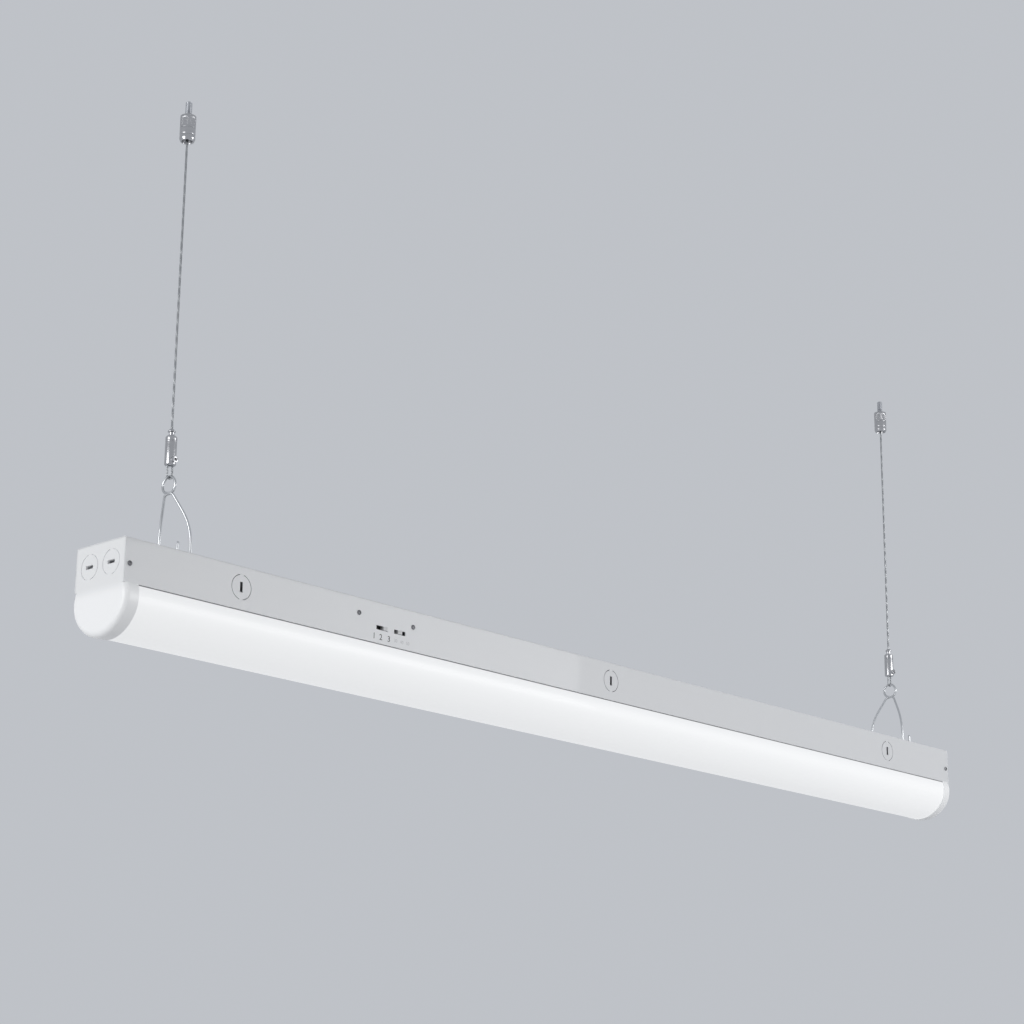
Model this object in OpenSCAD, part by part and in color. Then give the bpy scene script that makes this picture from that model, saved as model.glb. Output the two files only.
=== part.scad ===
// A hanging LED shop light: a white sheet-metal channel with a frosted wrap lens and moulded
// end caps, hung from two ceiling couplers by steel cables, grippers and V-shaped wire hooks.
// X runs along the light, Y across it with the front at -Y, and Z up.
// Z = 0 is the ceiling and X = 0 the middle of the light. All sizes are in millimetres.

/* [Channel] */
// Length of the channel
light_len = 1200; // [900:10:1500]
// Width of the channel
channel_w = 63.5; // [61:0.5:66]
// Height of the channel's side walls
channel_h = 37.8; // [36:0.1:40]
// Thickness of the channel's sheet
sheet_t = 0.8; // [0.6:0.1:1.2]
// Outer radius of the channel's two top bends
bend_r = 1.6; // [1.4:0.1:3]
// Width of the inward lips along the channel's bottom
lip_w = 5; // [4:0.5:6]
// How far the lips stop short of each end of the channel
lip_setback = 3; // [2.6:0.1:6]

/* [Knockouts and holes] */
// Diameter of the conduit knockouts
knockout_d = 22; // [18:0.5:22.5]
// Width of the cut round a knockout
knockout_cut = 0.6; // [0.3:0.1:1]
// Width of the two bridges that hold a knockout
knockout_bridge = 4; // [2:0.5:6]
// Distance of the outer side knockouts from the channel's ends
knockout_inset = 123; // [110:1:160]
// Depth of the side knockouts' centres below the channel's top
knockout_depth = 18.5; // [17:0.5:20.5]
// Width of the pry slot in a knockout
pry_slot_w = 3; // [1.5:0.1:4]
// Length of the pry slot in a knockout
pry_slot_l = 9; // [5:0.5:10]
// Distance of the surface-mounting holes from the light's middle
surface_hole_x = 450; // [300:5:520]
// Diameter of the surface-mounting holes
surface_hole_d = 7; // [5:0.5:8]

/* [Lens] */
// Wall thickness of the lens
lens_t = 1.6; // [1.2:0.1:2.2]
// Gap between the channel's bottom edge and the lens
joint_gap = 1; // [0.6:0.1:1.2]
// Thickness of the lens's snap legs
leg_t = 1.2; // [1:0.1:1.6]
// Clearance between a snap leg and the channel's lip
leg_gap = 0.35; // [0.2:0.05:0.6]
// Height of the barb above the lip
barb_h = 2.2; // [1.5:0.1:3]
// How far the barb reaches over the lip
barb_reach = 2; // [1:0.1:3]
// Clearance between the barb and the lip
barb_gap = 0.2; // [0.1:0.05:0.5]

/* [End caps] */
// Depth of the light from the channel's top to the bottom of the end caps
light_h = 78.5; // [77:0.1:80]
// Half the width of an end cap at its widest
cap_half_w = 34.8; // [34:0.1:36]
// Radius of an end cap's side arcs
cap_side_r = 27; // [26:0.1:27.8]
// Depth of the widest line below the channel's top
cap_wide_depth = 47.5; // [47:0.1:48.5]
// Thickness of the end cap's sleeve round the lens
sleeve_t = 0.8; // [0.6:0.1:1]
// Clearance between the sleeve and the lens
sleeve_gap = 0.1; // [0.05:0.05:0.3]
// Length of the sleeve
sleeve_len = 14; // [10:0.5:20]
// Thickness of the end cap's end wall
cap_wall_t = 2.2; // [1.8:0.1:2.6]
// Rounding of the end cap's outer edge
cap_edge_r = 5; // [3:0.5:8]
// Clearance between the end cap and the channel
cap_gap = 0.1; // [0.05:0.05:0.3]
// Clearance between the lens and the cap's inner shoulder
lens_end_gap = 0.8; // [0.4:0.1:2]
// Distance between the two knockouts in an end cap
cap_knockout_pitch = 28; // [27.5:0.5:31]
// Depth of the groove round an end cap's knockout
cap_groove = 1.2; // [0.6:0.1:1.5]
// Distance of the end-cap screws from the channel's end
cap_screw_inset = 5; // [4.5:0.1:8]
// Depth of the end-cap screws below the channel's top
cap_screw_depth = 22; // [16:0.5:26]
// Thickness of a screw lug, along Y
lug_t = 6; // [4:0.5:8]
// Height of a screw lug
lug_h = 9; // [7:0.5:12]

/* [Selector switches] */
// Distance of the power selector's window from the light's middle
power_x = -312.5; // [-314:0.5:-311]
// Distance between the two selector windows
selector_pitch = 22; // [20:0.5:23]
// Depth of the windows' centres below the channel's top
selector_depth = 23.5; // [21:0.5:24]
// Length of a selector window
window_l = 14; // [13.8:0.1:15]
// Height of a selector window
window_h = 3.8; // [3.6:0.1:4.4]
// Length of a selector knob, along X
knob_l = 5; // [4:0.1:5.4]
// Height of a selector knob
knob_h = 3.2; // [2.4:0.1:3.3]
// How far a knob stands out of the channel's side
knob_proud = 0.9; // [0.3:0.1:2]
// Travel of a knob each way from its middle position
knob_travel = 4; // [3:0.1:4]

/* [Driver and tray] */
// Length of the driver case
driver_len = 270; // [240:5:290]
// Width of the driver case
driver_w = 40; // [38:0.5:42]
// Height of the driver case
driver_h = 25.8; // [24:0.1:27]
// Distance of the driver's left end from the light's middle
driver_x = -347; // [-350:1:-345]
// Wall thickness of the driver case
driver_wall = 1.2; // [0.8:0.1:1.6]
// Distance from the switch board's back to the channel's side wall
board_stand = 6.15; // [6:0.05:6.4]
// Thickness of every circuit board
board_t = 1.6; // [1:0.1:2]
// Width of the gear tray
tray_w = 48.8; // [40:0.2:49.4]
// Depth of the tray's face below the channel's top
tray_depth = 33.8; // [33:0.1:34.4]
// Height of the tray's side flanges
tray_flange = 5; // [3:0.5:6]
// How far the tray stops short of each end of the channel
tray_setback = 12; // [11:0.5:20]
// Width of a tray bracket, across the light
bracket_w = 44; // [40:0.5:46]
// Length of a bracket's flanges, along the light
bracket_l = 20; // [14:0.5:24]
// Width of the LED boards
led_board_w = 20; // [14:0.5:24]
// Number of LEDs on each board
leds_per_board = 48; // [12:1:60]

/* [Cable hangers] */
// Distance from the ceiling to the channel's top
hang_drop = 402; // [320:1:1500]
// Distance of each hanger from the channel's end
hanger_inset = 66; // [63:0.5:74]
// Diameter of the cables
cable_d = 2; // [1.6:0.1:2]
// Diameter of the wire loop under a gripper
loop_wire_d = 1.6; // [1.2:0.1:1.6]
// Radius of the wire loop at the wire's centre
loop_r = 2.6; // [2.5:0.05:2.7]
// Gap between the loop and the hook's eye
loop_seat_gap = 0.1; // [0.05:0.05:0.3]

/* [V-hooks] */
// Diameter of the hook's wire
hook_wire_d = 2.3; // [2:0.1:2.4]
// Distance between a hook's two feet
foot_spread = 42; // [36:0.5:46]
// Radius of the half-turn under the channel's top, at the wire's centre
foot_r = 6.8; // [6.7:0.05:6.9]
// Height of the half-turn's centre above the channel's top
foot_axis_h = 3.2; // [3.15:0.05:3.25]
// Distance of the half-turn's axis from the cable's, towards the middle of the light
foot_shift = 2.4; // [2:0.1:2.8]
// Height at which the lines of a leg's upright and of its slant would meet
leg_knee_h = 26; // [24:0.5:28]
// Height of the upturned tip above the channel's top
tip_h = 10; // [7:0.5:12]
// Radius of the wide bend between a leg's upright and its slant
hook_bend_r = 60; // [40:1:66]
// Height of the stretch of wire that crosses under the eye
knot_h = 56; // [55.8:0.1:56.2]
// Distance from the middle to where a leg turns into that stretch
knot_half = 4.8; // [4.5:0.1:5.2]
// Radius of the wire's round corner at that turn
knot_corner_r = 1.25; // [1.2:0.05:1.4]
// Height of the eye's centre above the channel's top
eye_h = 64; // [58:0.5:66]
// Radius of the eye at the wire's centre
eye_r = 7.35; // [6.5:0.05:8]
// Diameter of the holes for a foot
foot_hole_d = 4.8; // [4.6:0.1:5]
// Distance of a foot's holes from the foot's axis
foot_hole_off = 6.15; // [6.1:0.05:6.2]

/* [Grippers] */
// Height of a gripper's bottom above the channel's top
gripper_h = 81; // [79:0.5:90]
// Outer diameter of a gripper
gripper_d = 10; // [9.6:0.1:12]
// Length of a gripper's barrel
gripper_len = 26; // [24:0.1:30]
// Diameter of the plug in a gripper's bottom
plug_d = 8; // [7.8:0.1:8.2]
// Length of the plug
plug_len = 5.5; // [5:0.1:6]
// Radius of the jaw cone at its wide lower end
cone_low_r = 3.6; // [3.55:0.01:3.65]
// Radius of the jaw cone at its narrow upper end
cone_top_r = 2.95; // [2.93:0.01:2.97]
// Length of the jaw cone
cone_len = 8; // [7.8:0.1:8.2]
// Thickness of the barrel above the cone
barrel_top_t = 3; // [2:0.1:3.4]
// Diameter of the release plunger's stem
stem_d = 4.7; // [4.4:0.05:4.75]
// Height of the plunger's nose above the barrel
nose_h = 6; // [5:0.1:8]
// Diameter of the plunger's finger rim
nose_rim_d = 6.8; // [6.4:0.1:7.2]
// Outer diameter of the plunger's ball cage
cage_d = 5.5; // [5.3:0.05:5.6]
// Radius of the gripping balls
jaw_ball_r = 1.1; // [1.08:0.01:1.12]
// Travel of the release plunger
release_travel = 2.5; // [1.5:0.1:2.8]
// Number of gripping balls
jaw_balls = 3; // [3:1:4]
// Diameter of the release spring's wire
spring_wire_d = 0.6; // [0.4:0.05:0.7]
// Radius of the release spring at the wire's centre
spring_r = 2.3; // [2.1:0.05:2.4]
// Diameter of the side boss
boss_d = 5.5; // [4.5:0.1:6]
// How far the side boss stands out of the barrel
boss_proud = 2; // [1:0.1:4]
// Diameter of the lock screw
lock_screw_d = 2.5; // [2:0.1:2.5]

/* [Ceiling couplers] */
// Diameter of the ceiling studs
stud_d = 6; // [6:0.5:8]
// Diameter of the studs' lower thread, in the couplers
stud_low_d = 5; // [4:0.5:5.5]
// Height of the studs above the ceiling plane
stud_up = 14; // [10:0.5:30]
// Depth of the studs in the couplers
stud_in = 7; // [5:0.1:7.2]
// Outer diameter of a coupler
coupler_d = 14; // [14:0.5:18]
// Height of a coupler's upper half
coupler_top_h = 12; // [11.9:0.1:15]
// Height of a coupler's lower half
coupler_low_h = 12; // [10:0.5:13]
// Diameter of the threaded spigot between the halves
spigot_d = 12.4; // [12:0.1:12.6]
// Length of the threaded spigot
spigot_len = 3; // [2.8:0.1:3.2]
// Radius of the ball on a cable's upper end
end_ball_r = 3; // [2.9:0.05:3]
// Radius of the swivel seat's round outside
seat_r = 5; // [4.9:0.05:5.05]
// Running clearance of the ball and the seat
swivel_gap = 0.1; // [0.05:0.01:0.1]

/* [Hidden] */

$fn = 64;
fit_gap = 0.05;                   // a push fit within one body
rest_gap = 0.15;                  // parts that lie against each other
over = 1;                         // how far a cutter runs past the face that it cuts
white = [0.93, 0.93, 0.94];
zinc = [0.72, 0.73, 0.75];
steel = [0.55, 0.56, 0.58];
board_green = [0.12, 0.35, 0.2];

half_len = light_len / 2;
half_w = channel_w / 2;
hanger_x = half_len - hanger_inset;

// The end cap's outline below the joint: two side arcs joined by one flatter bottom arc.
arc_off = cap_half_w - cap_side_r;
arc_drop = light_h - cap_wide_depth - cap_side_r;
arc_rise = (arc_off * arc_off - arc_drop * arc_drop) / (2 * arc_drop);
bottom_r = cap_side_r + norm([arc_off, arc_rise]);
bottom_z = arc_rise - cap_wide_depth;
arc_ray = [0, bottom_z] + [arc_off, -arc_rise] * 2 * bottom_r / norm([arc_off, arc_rise]);

// The lens snaps over the channel's lips.
lens_in = -sleeve_t - sleeve_gap;                  // the lens's outside, measured from the cap's
lens_top = -channel_h - joint_gap;
leg_out = half_w - lip_w - leg_gap;
barb_z = sheet_t - channel_h + barb_gap;
lens_mouth = leg_out - leg_t - 0.4;                // half the opening between the snap legs
lens_end = half_len - cap_edge_r - lens_end_gap;

wall_in = half_w - sheet_t;                        // inside face of the channel's side walls
colour_x = power_x + selector_pitch;
power_knob_x = power_x + knob_travel;              // at rest, at the right end of its window
board_y = board_stand - wall_in;                   // back of the switch board
switch_l = 17;                                     // size of a slide switch's body
switch_h = 7.2;
knob_play = 0.3;

driver_top = -sheet_t - rest_gap;
driver_y = board_y + 0.2;                          // front face of the driver case
driver_low = driver_top - driver_h;
side_screws = [[driver_x + 6, -14.4], [driver_x + 73, -15.4]];
side_screw_r = 1.15;
side_boss_r = 3.5;
part_gap = 0.25;                                   // between the driver's case and its board
driver_board_top = driver_top - driver_wall - part_gap;
driver_board_low = driver_board_top - board_t;

core = [26, 24, 15];                               // the driver's transformer
big_can = [36, 6.3, 18];                           // a capacitor's place, radius and height
small_can = [206, 4, 12];
can_gap = 4;                                       // between the two capacitors of a pair
can_y = 14;
choke_x = 86;
choke_ring_r = 7;                                  // the choke's ring and the winding round it
choke_r = 4.6;

bracket_end = 36;                                  // from the outer brackets to the channel's ends
bracket_x = [bracket_end - half_len, 40, half_len - bracket_end - bracket_l];
tray_screw_y = 17;
tray_top = sheet_t - tray_depth;
tray_screw_r = 1.7;
led_board_gap = 4;                                 // between the two LED boards
led_board_len = half_len - tray_setback - led_board_gap;
led_low = -tray_depth - board_t;
led_size = [3.5, 2.8, 0.7];
connector = [16, 12, 6];
connector_x = driver_x + driver_len + 24;
led_wire_y = 3;                                    // the LED wires' distance from the middle
led_wire_in = 4;                                   // how far they go into the connector

block = [30, 24, 13];                              // the terminal block
block_gap = 45;                                    // from the terminal block to the driver
block_x = driver_x - block_gap - block[0];
block_pitch = 8;                                   // between its three wire holes
wire_r = 1.2;
ground_at = [block_x + 50, 19];
ground_r = 1.9;

// The hook's legs stand on the side of the foot away from the end of the light.
eye_top = eye_h + eye_r;
bend_swell = 0.05;                                 // how much thicker the wire is in its bends
bend_lap = 0.2;                                    // how far a straight stretch runs into a bend
loop_z = eye_top - hook_wire_d / 2 - loop_seat_gap + loop_r - loop_wire_d / 2;

// Levels inside a gripper, above the channel's top.
plug_top = gripper_h + plug_len;
barrel_top = gripper_h + gripper_len;
cone_top = barrel_top - barrel_top_t;
cone_low = cone_top - cone_len;
cable_bore_r = cable_d / 2 + 0.3;
tail_z = gripper_h + 2.5;                          // lower end of the cable
cage_top = cone_top - 0.3;
cage_low = cone_low + 1.2;
ball_z = (cone_low + cone_top) / 2;
ball_off = cable_d / 2 + jaw_ball_r + 0.03;
lock_z = gripper_h + 4.5;
stem_gap = 0.15;
spring_turns = 5;

// Levels inside a ceiling coupler, below the ceiling.
ball_level = -coupler_top_h - 2;
chamber_r = seat_r + 0.4;
socket_r = seat_r + swivel_gap;
mouth_level = ball_level - 4;
coupler_low = -coupler_top_h - coupler_low_h;

// Places its children in the light's own frame, where Z = 0 is the channel's top.
module on_light() {
  translate([0, 0, -hang_drop]) children();
}

// Extrudes a Y-Z outline along X.
module along_x(from, to) {
  translate([from, 0, 0]) rotate([90, 0, 90]) linear_extrude(height = to - from) children();
}

// A round bar between two points.
module rod(from, to, r) {
  run = to - from;
  tilt = acos(run[2] / norm(run));
  turn = atan2(run[1], run[0]);
  translate(from) rotate([0, tilt, turn]) cylinder(h = norm(run), r = r);
}

// A round bar along +Y from one Y to another.
module bar_y(x, z, from, to, r) {
  translate([x, to, z]) rotate([90, 0, 0]) cylinder(h = to - from, r = r);
}

function unit(v) = v / norm(v);
function heading(path, i) =
  unit(path[min(i + 1, len(path) - 1)] - path[max(i - 1, 0)]);
function ring(at, dir, r, sides) =
  let (right = unit(cross(dir, [0, 0, 1])), up = cross(right, dir))
  [for (k = [0 : sides - 1])
    at + r * (cos(360 * k / sides) * right + sin(360 * k / sides) * up)];

// A tube swept along a path of points.
module tube(path, r, sides = 8) {
  last = (len(path) - 1) * sides;
  points = [for (i = [0 : len(path) - 1]) each ring(path[i], heading(path, i), r, sides)];
  walls = [
    for (i = [0 : sides : last - sides]) for (k = [0 : sides - 1])
      let (a = i + k, b = i + (k + 1) % sides)
      each [[a, b, b + sides], [a, b + sides, a + sides]]
  ];
  start = [for (k = [1 : sides - 2]) [0, k + 1, k]];
  finish = [for (k = [1 : sides - 2]) [last, last + k, last + k + 1]];
  polyhedron(points = points, faces = concat(start, walls, finish), convexity = 10);
}

// The end cap's outline, made larger or smaller by grow and cut off above top.
module oval(grow, top) {
  intersection() {
    union() {
      for (side = [-1, 1])
        translate([side * arc_off, -cap_wide_depth]) circle(r = cap_side_r + grow);
      intersection() {
        translate([0, bottom_z]) circle(r = bottom_r + grow);
        polygon([[0, bottom_z], [-arc_ray[0], arc_ray[1]], arc_ray]);
      }
    }
    translate([-channel_w, top - 2 * light_h]) square([2 * channel_w, 2 * light_h]);
  }
}

// A box outline, open at the bottom, whose two top corners are round.
module round_top(w, h, r) {
  translate([-w / 2, -h]) square([w, h - r]);
  translate([r - w / 2, -h]) square([w - 2 * r, h]);
  for (side = [-1, 1]) translate([side * (w / 2 - r), -r]) circle(r = r);
}

// The ring-shaped cut round a knockout, less its bridges, along Z, and its pry slot, which goes
// deeper than the ring by below.
module knockout_cutter(depth, slot_along_x, below = 0) {
  difference() {
    cylinder(h = depth, r = knockout_d / 2);
    translate([0, 0, -over]) cylinder(h = depth + 2 * over, r = knockout_d / 2 - knockout_cut);
    translate([-knockout_bridge / 2, -knockout_d, -over])
      cube([knockout_bridge, 2 * knockout_d, depth + 2 * over]);
  }
  slot = slot_along_x ? [pry_slot_l, pry_slot_w] : [pry_slot_w, pry_slot_l];
  translate([-slot[0] / 2, -slot[1] / 2, -below]) cube([slot[0], slot[1], depth + below]);
}

// ---- Ceiling couplers and cables ----

module ceiling_stud(side) {
  bevel = 1;
  color(zinc) translate([side * hanger_x, 0, 0]) {
    cylinder(h = stud_up - bevel, r = stud_d / 2);
    translate([0, 0, stud_up - bevel]) cylinder(h = bevel, r1 = stud_d / 2, r2 = stud_d / 2 - bevel);
    translate([0, 0, -stud_in]) cylinder(h = stud_in + over, r = stud_low_d / 2);
  }
}

module coupler_body(side) {
  color(zinc) translate([side * hanger_x, 0, 0]) difference() {
    union() {
      translate([0, 0, -coupler_top_h]) cylinder(h = coupler_top_h, r = coupler_d / 2);
      translate([0, 0, -coupler_top_h - spigot_len]) cylinder(h = spigot_len + 1, r = spigot_d / 2);
    }
    translate([0, 0, -stud_in - fit_gap])
      cylinder(h = stud_in + over, r = stud_low_d / 2 + fit_gap);
    translate([0, 0, -coupler_top_h - spigot_len - over])
      cylinder(h = spigot_len + over + 3.6, r = chamber_r);
  }
}

module coupler_cap(side) {
  color(zinc) translate([side * hanger_x, 0, 0]) difference() {
    translate([0, 0, coupler_low])
      cylinder(h = coupler_low_h - fit_gap, r = coupler_d / 2);
    translate([0, 0, -coupler_top_h - spigot_len - fit_gap])
      cylinder(h = spigot_len + over, r = spigot_d / 2 + fit_gap);
    translate([0, 0, ball_level]) sphere(r = socket_r);
    translate([0, 0, coupler_low - over])
      cylinder(h = mouth_level - coupler_low + 2 * over, r1 = 5.2, r2 = 2.8);
  }
}

module swivel_seat(side) {
  color([0.9, 0.9, 0.86]) translate([side * hanger_x, 0, ball_level]) difference() {
    intersection() {
      sphere(r = seat_r);
      translate([-seat_r, -seat_r, -2 * seat_r - 0.6]) cube(2 * seat_r);
    }
    sphere(r = end_ball_r + swivel_gap);
    translate([0, 0, -seat_r - over]) cylinder(h = seat_r, r1 = 2.6, r2 = 1.7);
  }
}

module cable_end_ball(side) {
  color(steel) translate([side * hanger_x, 0, ball_level]) difference() {
    sphere(r = end_ball_r);
    translate([0, 0, -end_ball_r - over])
      cylinder(h = end_ball_r + over + 1.6, r = cable_d / 2 + fit_gap);
  }
}

module cable(side) {
  low = tail_z - hang_drop;
  color(steel) translate([side * hanger_x, 0, low])
    cylinder(h = ball_level + 1.5 - low, r = cable_d / 2);
}

// ---- Grippers ----

module gripper_barrel(side) {
  color(zinc) on_light() translate([side * hanger_x, 0, 0]) difference() {
    union() {
      rotate_extrude() polygon([
        [plug_d / 2 + fit_gap, gripper_h],
        [gripper_d / 2 - 0.5, gripper_h],
        [gripper_d / 2, gripper_h + 0.6],
        [gripper_d / 2, barrel_top - 1.4],
        [gripper_d / 2 - 1.2, barrel_top],
        [stem_d / 2 + stem_gap, barrel_top],
        [stem_d / 2 + stem_gap, cone_top],
        [cone_top_r, cone_top],
        [cone_low_r, cone_low],
        [cone_low_r, plug_top + fit_gap],
        [plug_d / 2 + fit_gap, plug_top + fit_gap]
      ]);
      difference() {
        bar_y(0, lock_z, -gripper_d / 2 - boss_proud, 0, boss_d / 2);
        translate([0, 0, gripper_h]) cylinder(h = gripper_len, r = gripper_d / 2 - 0.4);
      }
    }
    bar_y(0, lock_z, -gripper_d, 0, lock_screw_d / 2 + fit_gap);
  }
}

module gripper_plug(side) {
  color(steel) on_light() translate([side * hanger_x, 0, 0]) difference() {
    translate([0, 0, gripper_h]) cylinder(h = plug_len, r = plug_d / 2);
    translate([0, 0, gripper_h - over]) cylinder(h = plug_len + 2 * over, r = cable_bore_r);
    for (strand = [-1, 1]) translate([strand * loop_r, 0, gripper_h - over])
      cylinder(h = plug_len - 0.5 + over, r = loop_wire_d / 2 + fit_gap);
    bar_y(0, lock_z, -plug_d, 0, lock_screw_d / 2 + fit_gap);
  }
}

module release_plunger(side) {
  rim_z = barrel_top + release_travel + 0.5;
  color(zinc) on_light() translate([side * hanger_x, 0, 0]) difference() {
    rotate_extrude() polygon([
      [cable_d / 2 + 0.2, cage_low],
      [cage_d / 2, cage_low],
      [cage_d / 2, cage_top],
      [stem_d / 2, cage_top],
      [stem_d / 2, rim_z],
      [nose_rim_d / 2, rim_z + 0.4],
      [nose_rim_d / 2, rim_z + 1.2],
      [cable_d / 2 + 0.8, barrel_top + nose_h],
      [cable_d / 2 + 0.2, barrel_top + nose_h]
    ]);
    for (k = [0 : jaw_balls - 1]) rotate([0, 0, 360 * k / jaw_balls + 90])
      translate([0, 0, ball_z]) rotate([0, 90, 0]) cylinder(h = cage_d, r = jaw_ball_r + fit_gap);
  }
}

module jaw_ball_set(side) {
  color(steel) on_light() translate([side * hanger_x, 0, ball_z])
    for (k = [0 : jaw_balls - 1]) rotate([0, 0, 360 * k / jaw_balls + 90])
      translate([ball_off, 0, 0]) sphere(r = jaw_ball_r);
}

module release_spring(side) {
  low = plug_top + spring_wire_d / 2 + fit_gap;
  rise = cage_low - fit_gap - spring_wire_d / 2 - low;
  steps = spring_turns * 10;
  coil = [
    for (i = [0 : steps])
      [spring_r * cos(36 * i), spring_r * sin(36 * i), low + rise * i / steps]
  ];
  color(steel) on_light() translate([side * hanger_x, 0, 0])
    tube(coil, spring_wire_d / 2, sides = 6);
}

module lock_screw(side) {
  color(steel) on_light() translate([side * hanger_x, 0, 0]) difference() {
    bar_y(0, lock_z, 0.2 - gripper_d / 2 - boss_proud, -cable_d / 2 - 0.15, lock_screw_d / 2);
    translate([0, 1.6 - gripper_d / 2 - boss_proud, lock_z]) rotate([90, 0, 0])
      cylinder(h = 4, r = lock_screw_d / 2 - 0.5, $fn = 6);
  }
}

module cable_loop(side) {
  r = loop_wire_d / 2;
  color(steel) on_light() translate([side * hanger_x, 0, 0]) {
    for (strand = [-1, 1]) translate([strand * loop_r, 0, loop_z])
      cylinder(h = plug_top - 0.6 - loop_z, r = r);
    translate([0, 0, loop_z]) rotate([-90, 0, 0])
      rotate_extrude(angle = 180) translate([loop_r, 0]) circle(r = r);
  }
}

module v_hook(side) {
  color(zinc) on_light() translate([side * hanger_x, 0, 0]) rotate([0, 0, side < 0 ? 0 : 180]) {
    bar_y(0, knot_h, -knot_half, knot_half, hook_wire_d / 2);
    translate([0, 0, eye_h]) rotate([0, 90, 0])
      rotate_extrude() translate([eye_r, 0]) circle(r = hook_wire_d / 2);
    hook_leg();
    mirror([0, 1, 0]) hook_leg();
  }
}

// A hook's back leg: upturned tip, half-turn under the sheet, upright, bend and slanted part.
module hook_leg() {
  r = hook_wire_d / 2;
  y = foot_spread / 2;
  tip_x = foot_shift - foot_r;
  leg_x = foot_shift + foot_r;
  knee = [leg_x, y, leg_knee_h];
  knot = [0, knot_half, knot_h];
  slant = unit(knot - knee);
  lean = acos(slant[2]);
  reach = hook_bend_r * tan(lean / 2);
  translate([foot_shift, y, foot_axis_h]) rotate([-90, 0, 0])
    rotate_extrude(angle = 180) translate([foot_r, 0]) circle(r = r + bend_swell);
  rod([tip_x, y, foot_axis_h - bend_lap], [tip_x, y, tip_h], r);
  rod([leg_x, y, foot_axis_h - bend_lap], [leg_x, y, leg_knee_h - reach + bend_lap], r);
  translate([leg_x, y, leg_knee_h - reach]) rotate([0, 0, atan2(slant[1], slant[0])])
    translate([hook_bend_r, 0, 0]) rotate([90, 0, 180])
    rotate_extrude(angle = lean) translate([hook_bend_r, 0]) circle(r = r + bend_swell);
  rod(knee + (reach - bend_lap) * slant, knot, r);
  translate(knot) sphere(r = knot_corner_r);
}

// ---- Channel, end caps and lens ----

module channel() {
  color(white) on_light() difference() {
    along_x(-half_len, half_len) difference() {
      round_top(channel_w, channel_h, bend_r);
      translate([0, -sheet_t])
        round_top(channel_w - 2 * sheet_t, channel_h, bend_r - sheet_t);
    }
    channel_openings();
  }
  color(white) on_light() for (side = [-1, 1])
    along_x(lip_setback - half_len, half_len - lip_setback)
      translate([side * (half_w - lip_w / 2) - lip_w / 2, -channel_h]) square([lip_w, sheet_t]);
}

// Every hole in the channel's top and side walls.
module channel_openings() {
  cut = sheet_t + 2 * over;
  for (end = [-1, 1], x = [end * (hanger_x - foot_shift)], foot = [-1, 1], hole = [-1, 1])
    translate([x + hole * foot_hole_off, foot * foot_spread / 2, -sheet_t - over])
      cylinder(h = cut, r = foot_hole_d / 2);
  for (x = [-surface_hole_x, surface_hole_x]) translate([x, 0, -sheet_t - over])
    cylinder(h = cut, r = surface_hole_d / 2);
  translate([0, 0, -sheet_t - over]) knockout_cutter(cut, true);
  for (x = [knockout_inset - half_len, 0, half_len - knockout_inset], wall = [-1, 1])
    translate([x, wall * (half_w - sheet_t / 2) + cut / 2, -knockout_depth])
      rotate([90, 0, 0]) knockout_cutter(cut, false);
  for (end = [-1, 1], wall = [-1, 1]) {
    y = wall * (half_w - sheet_t / 2);
    bar_y(end * (half_len - cap_screw_inset), -cap_screw_depth, y - cut / 2, y + cut / 2, 1.6);
  }
  for (at = side_screws) bar_y(at[0], at[1], -half_w - over, over - wall_in, side_screw_r + 0.2);
  for (x = [power_x, colour_x])
    translate([x - window_l / 2, -half_w - over, -selector_depth - window_h / 2])
      cube([window_l, cut, window_h]);
  translate([ground_at[0], ground_at[1], -sheet_t - over]) cylinder(h = cut, r = ground_r + fit_gap);
}

// A disc that stands on its X axis, whose edge at X = 0 is rounded.
module rounded_disc(r) {
  rotate([0, 90, 0]) rotate_extrude() {
    translate([0, cap_edge_r]) square([r, sleeve_len - cap_edge_r]);
    square([r - cap_edge_r, sleeve_len]);
    translate([r - cap_edge_r, cap_edge_r]) circle(r = cap_edge_r);
  }
}

// The sector of an end cap that its back side arc bounds.
module side_sector() {
  intersection() {
    translate([-half_len, arc_off, -cap_wide_depth]) rounded_disc(cap_side_r);
    along_x(-half_len, sleeve_len - half_len)
      polygon([[0, bottom_z], arc_ray, [channel_w, arc_ray[1]], [channel_w, 0], [0, 0]]);
  }
}

// The rounded shell of an end cap, at the left end: one sector of a disc for each of its arcs.
module cap_shell() {
  top = -channel_h - cap_gap;
  difference() {
    union() {
      intersection() {
        translate([-half_len, 0, bottom_z]) rounded_disc(bottom_r);
        along_x(-half_len, sleeve_len - half_len)
          polygon([[0, bottom_z], [-arc_ray[0], arc_ray[1]], arc_ray]);
      }
      side_sector();
      mirror([0, 1, 0]) side_sector();
    }
    translate([-half_len - over, -channel_w, top])
      cube([sleeve_len + 2 * over, 2 * channel_w, light_h]);
    along_x(cap_wall_t - half_len, cap_edge_r + fit_gap - half_len)
      oval(cap_wall_t - cap_edge_r - sleeve_t, top + over);
    along_x(cap_edge_r - half_len, sleeve_len + over - half_len) oval(-sleeve_t, top + over);
  }
}

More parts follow.
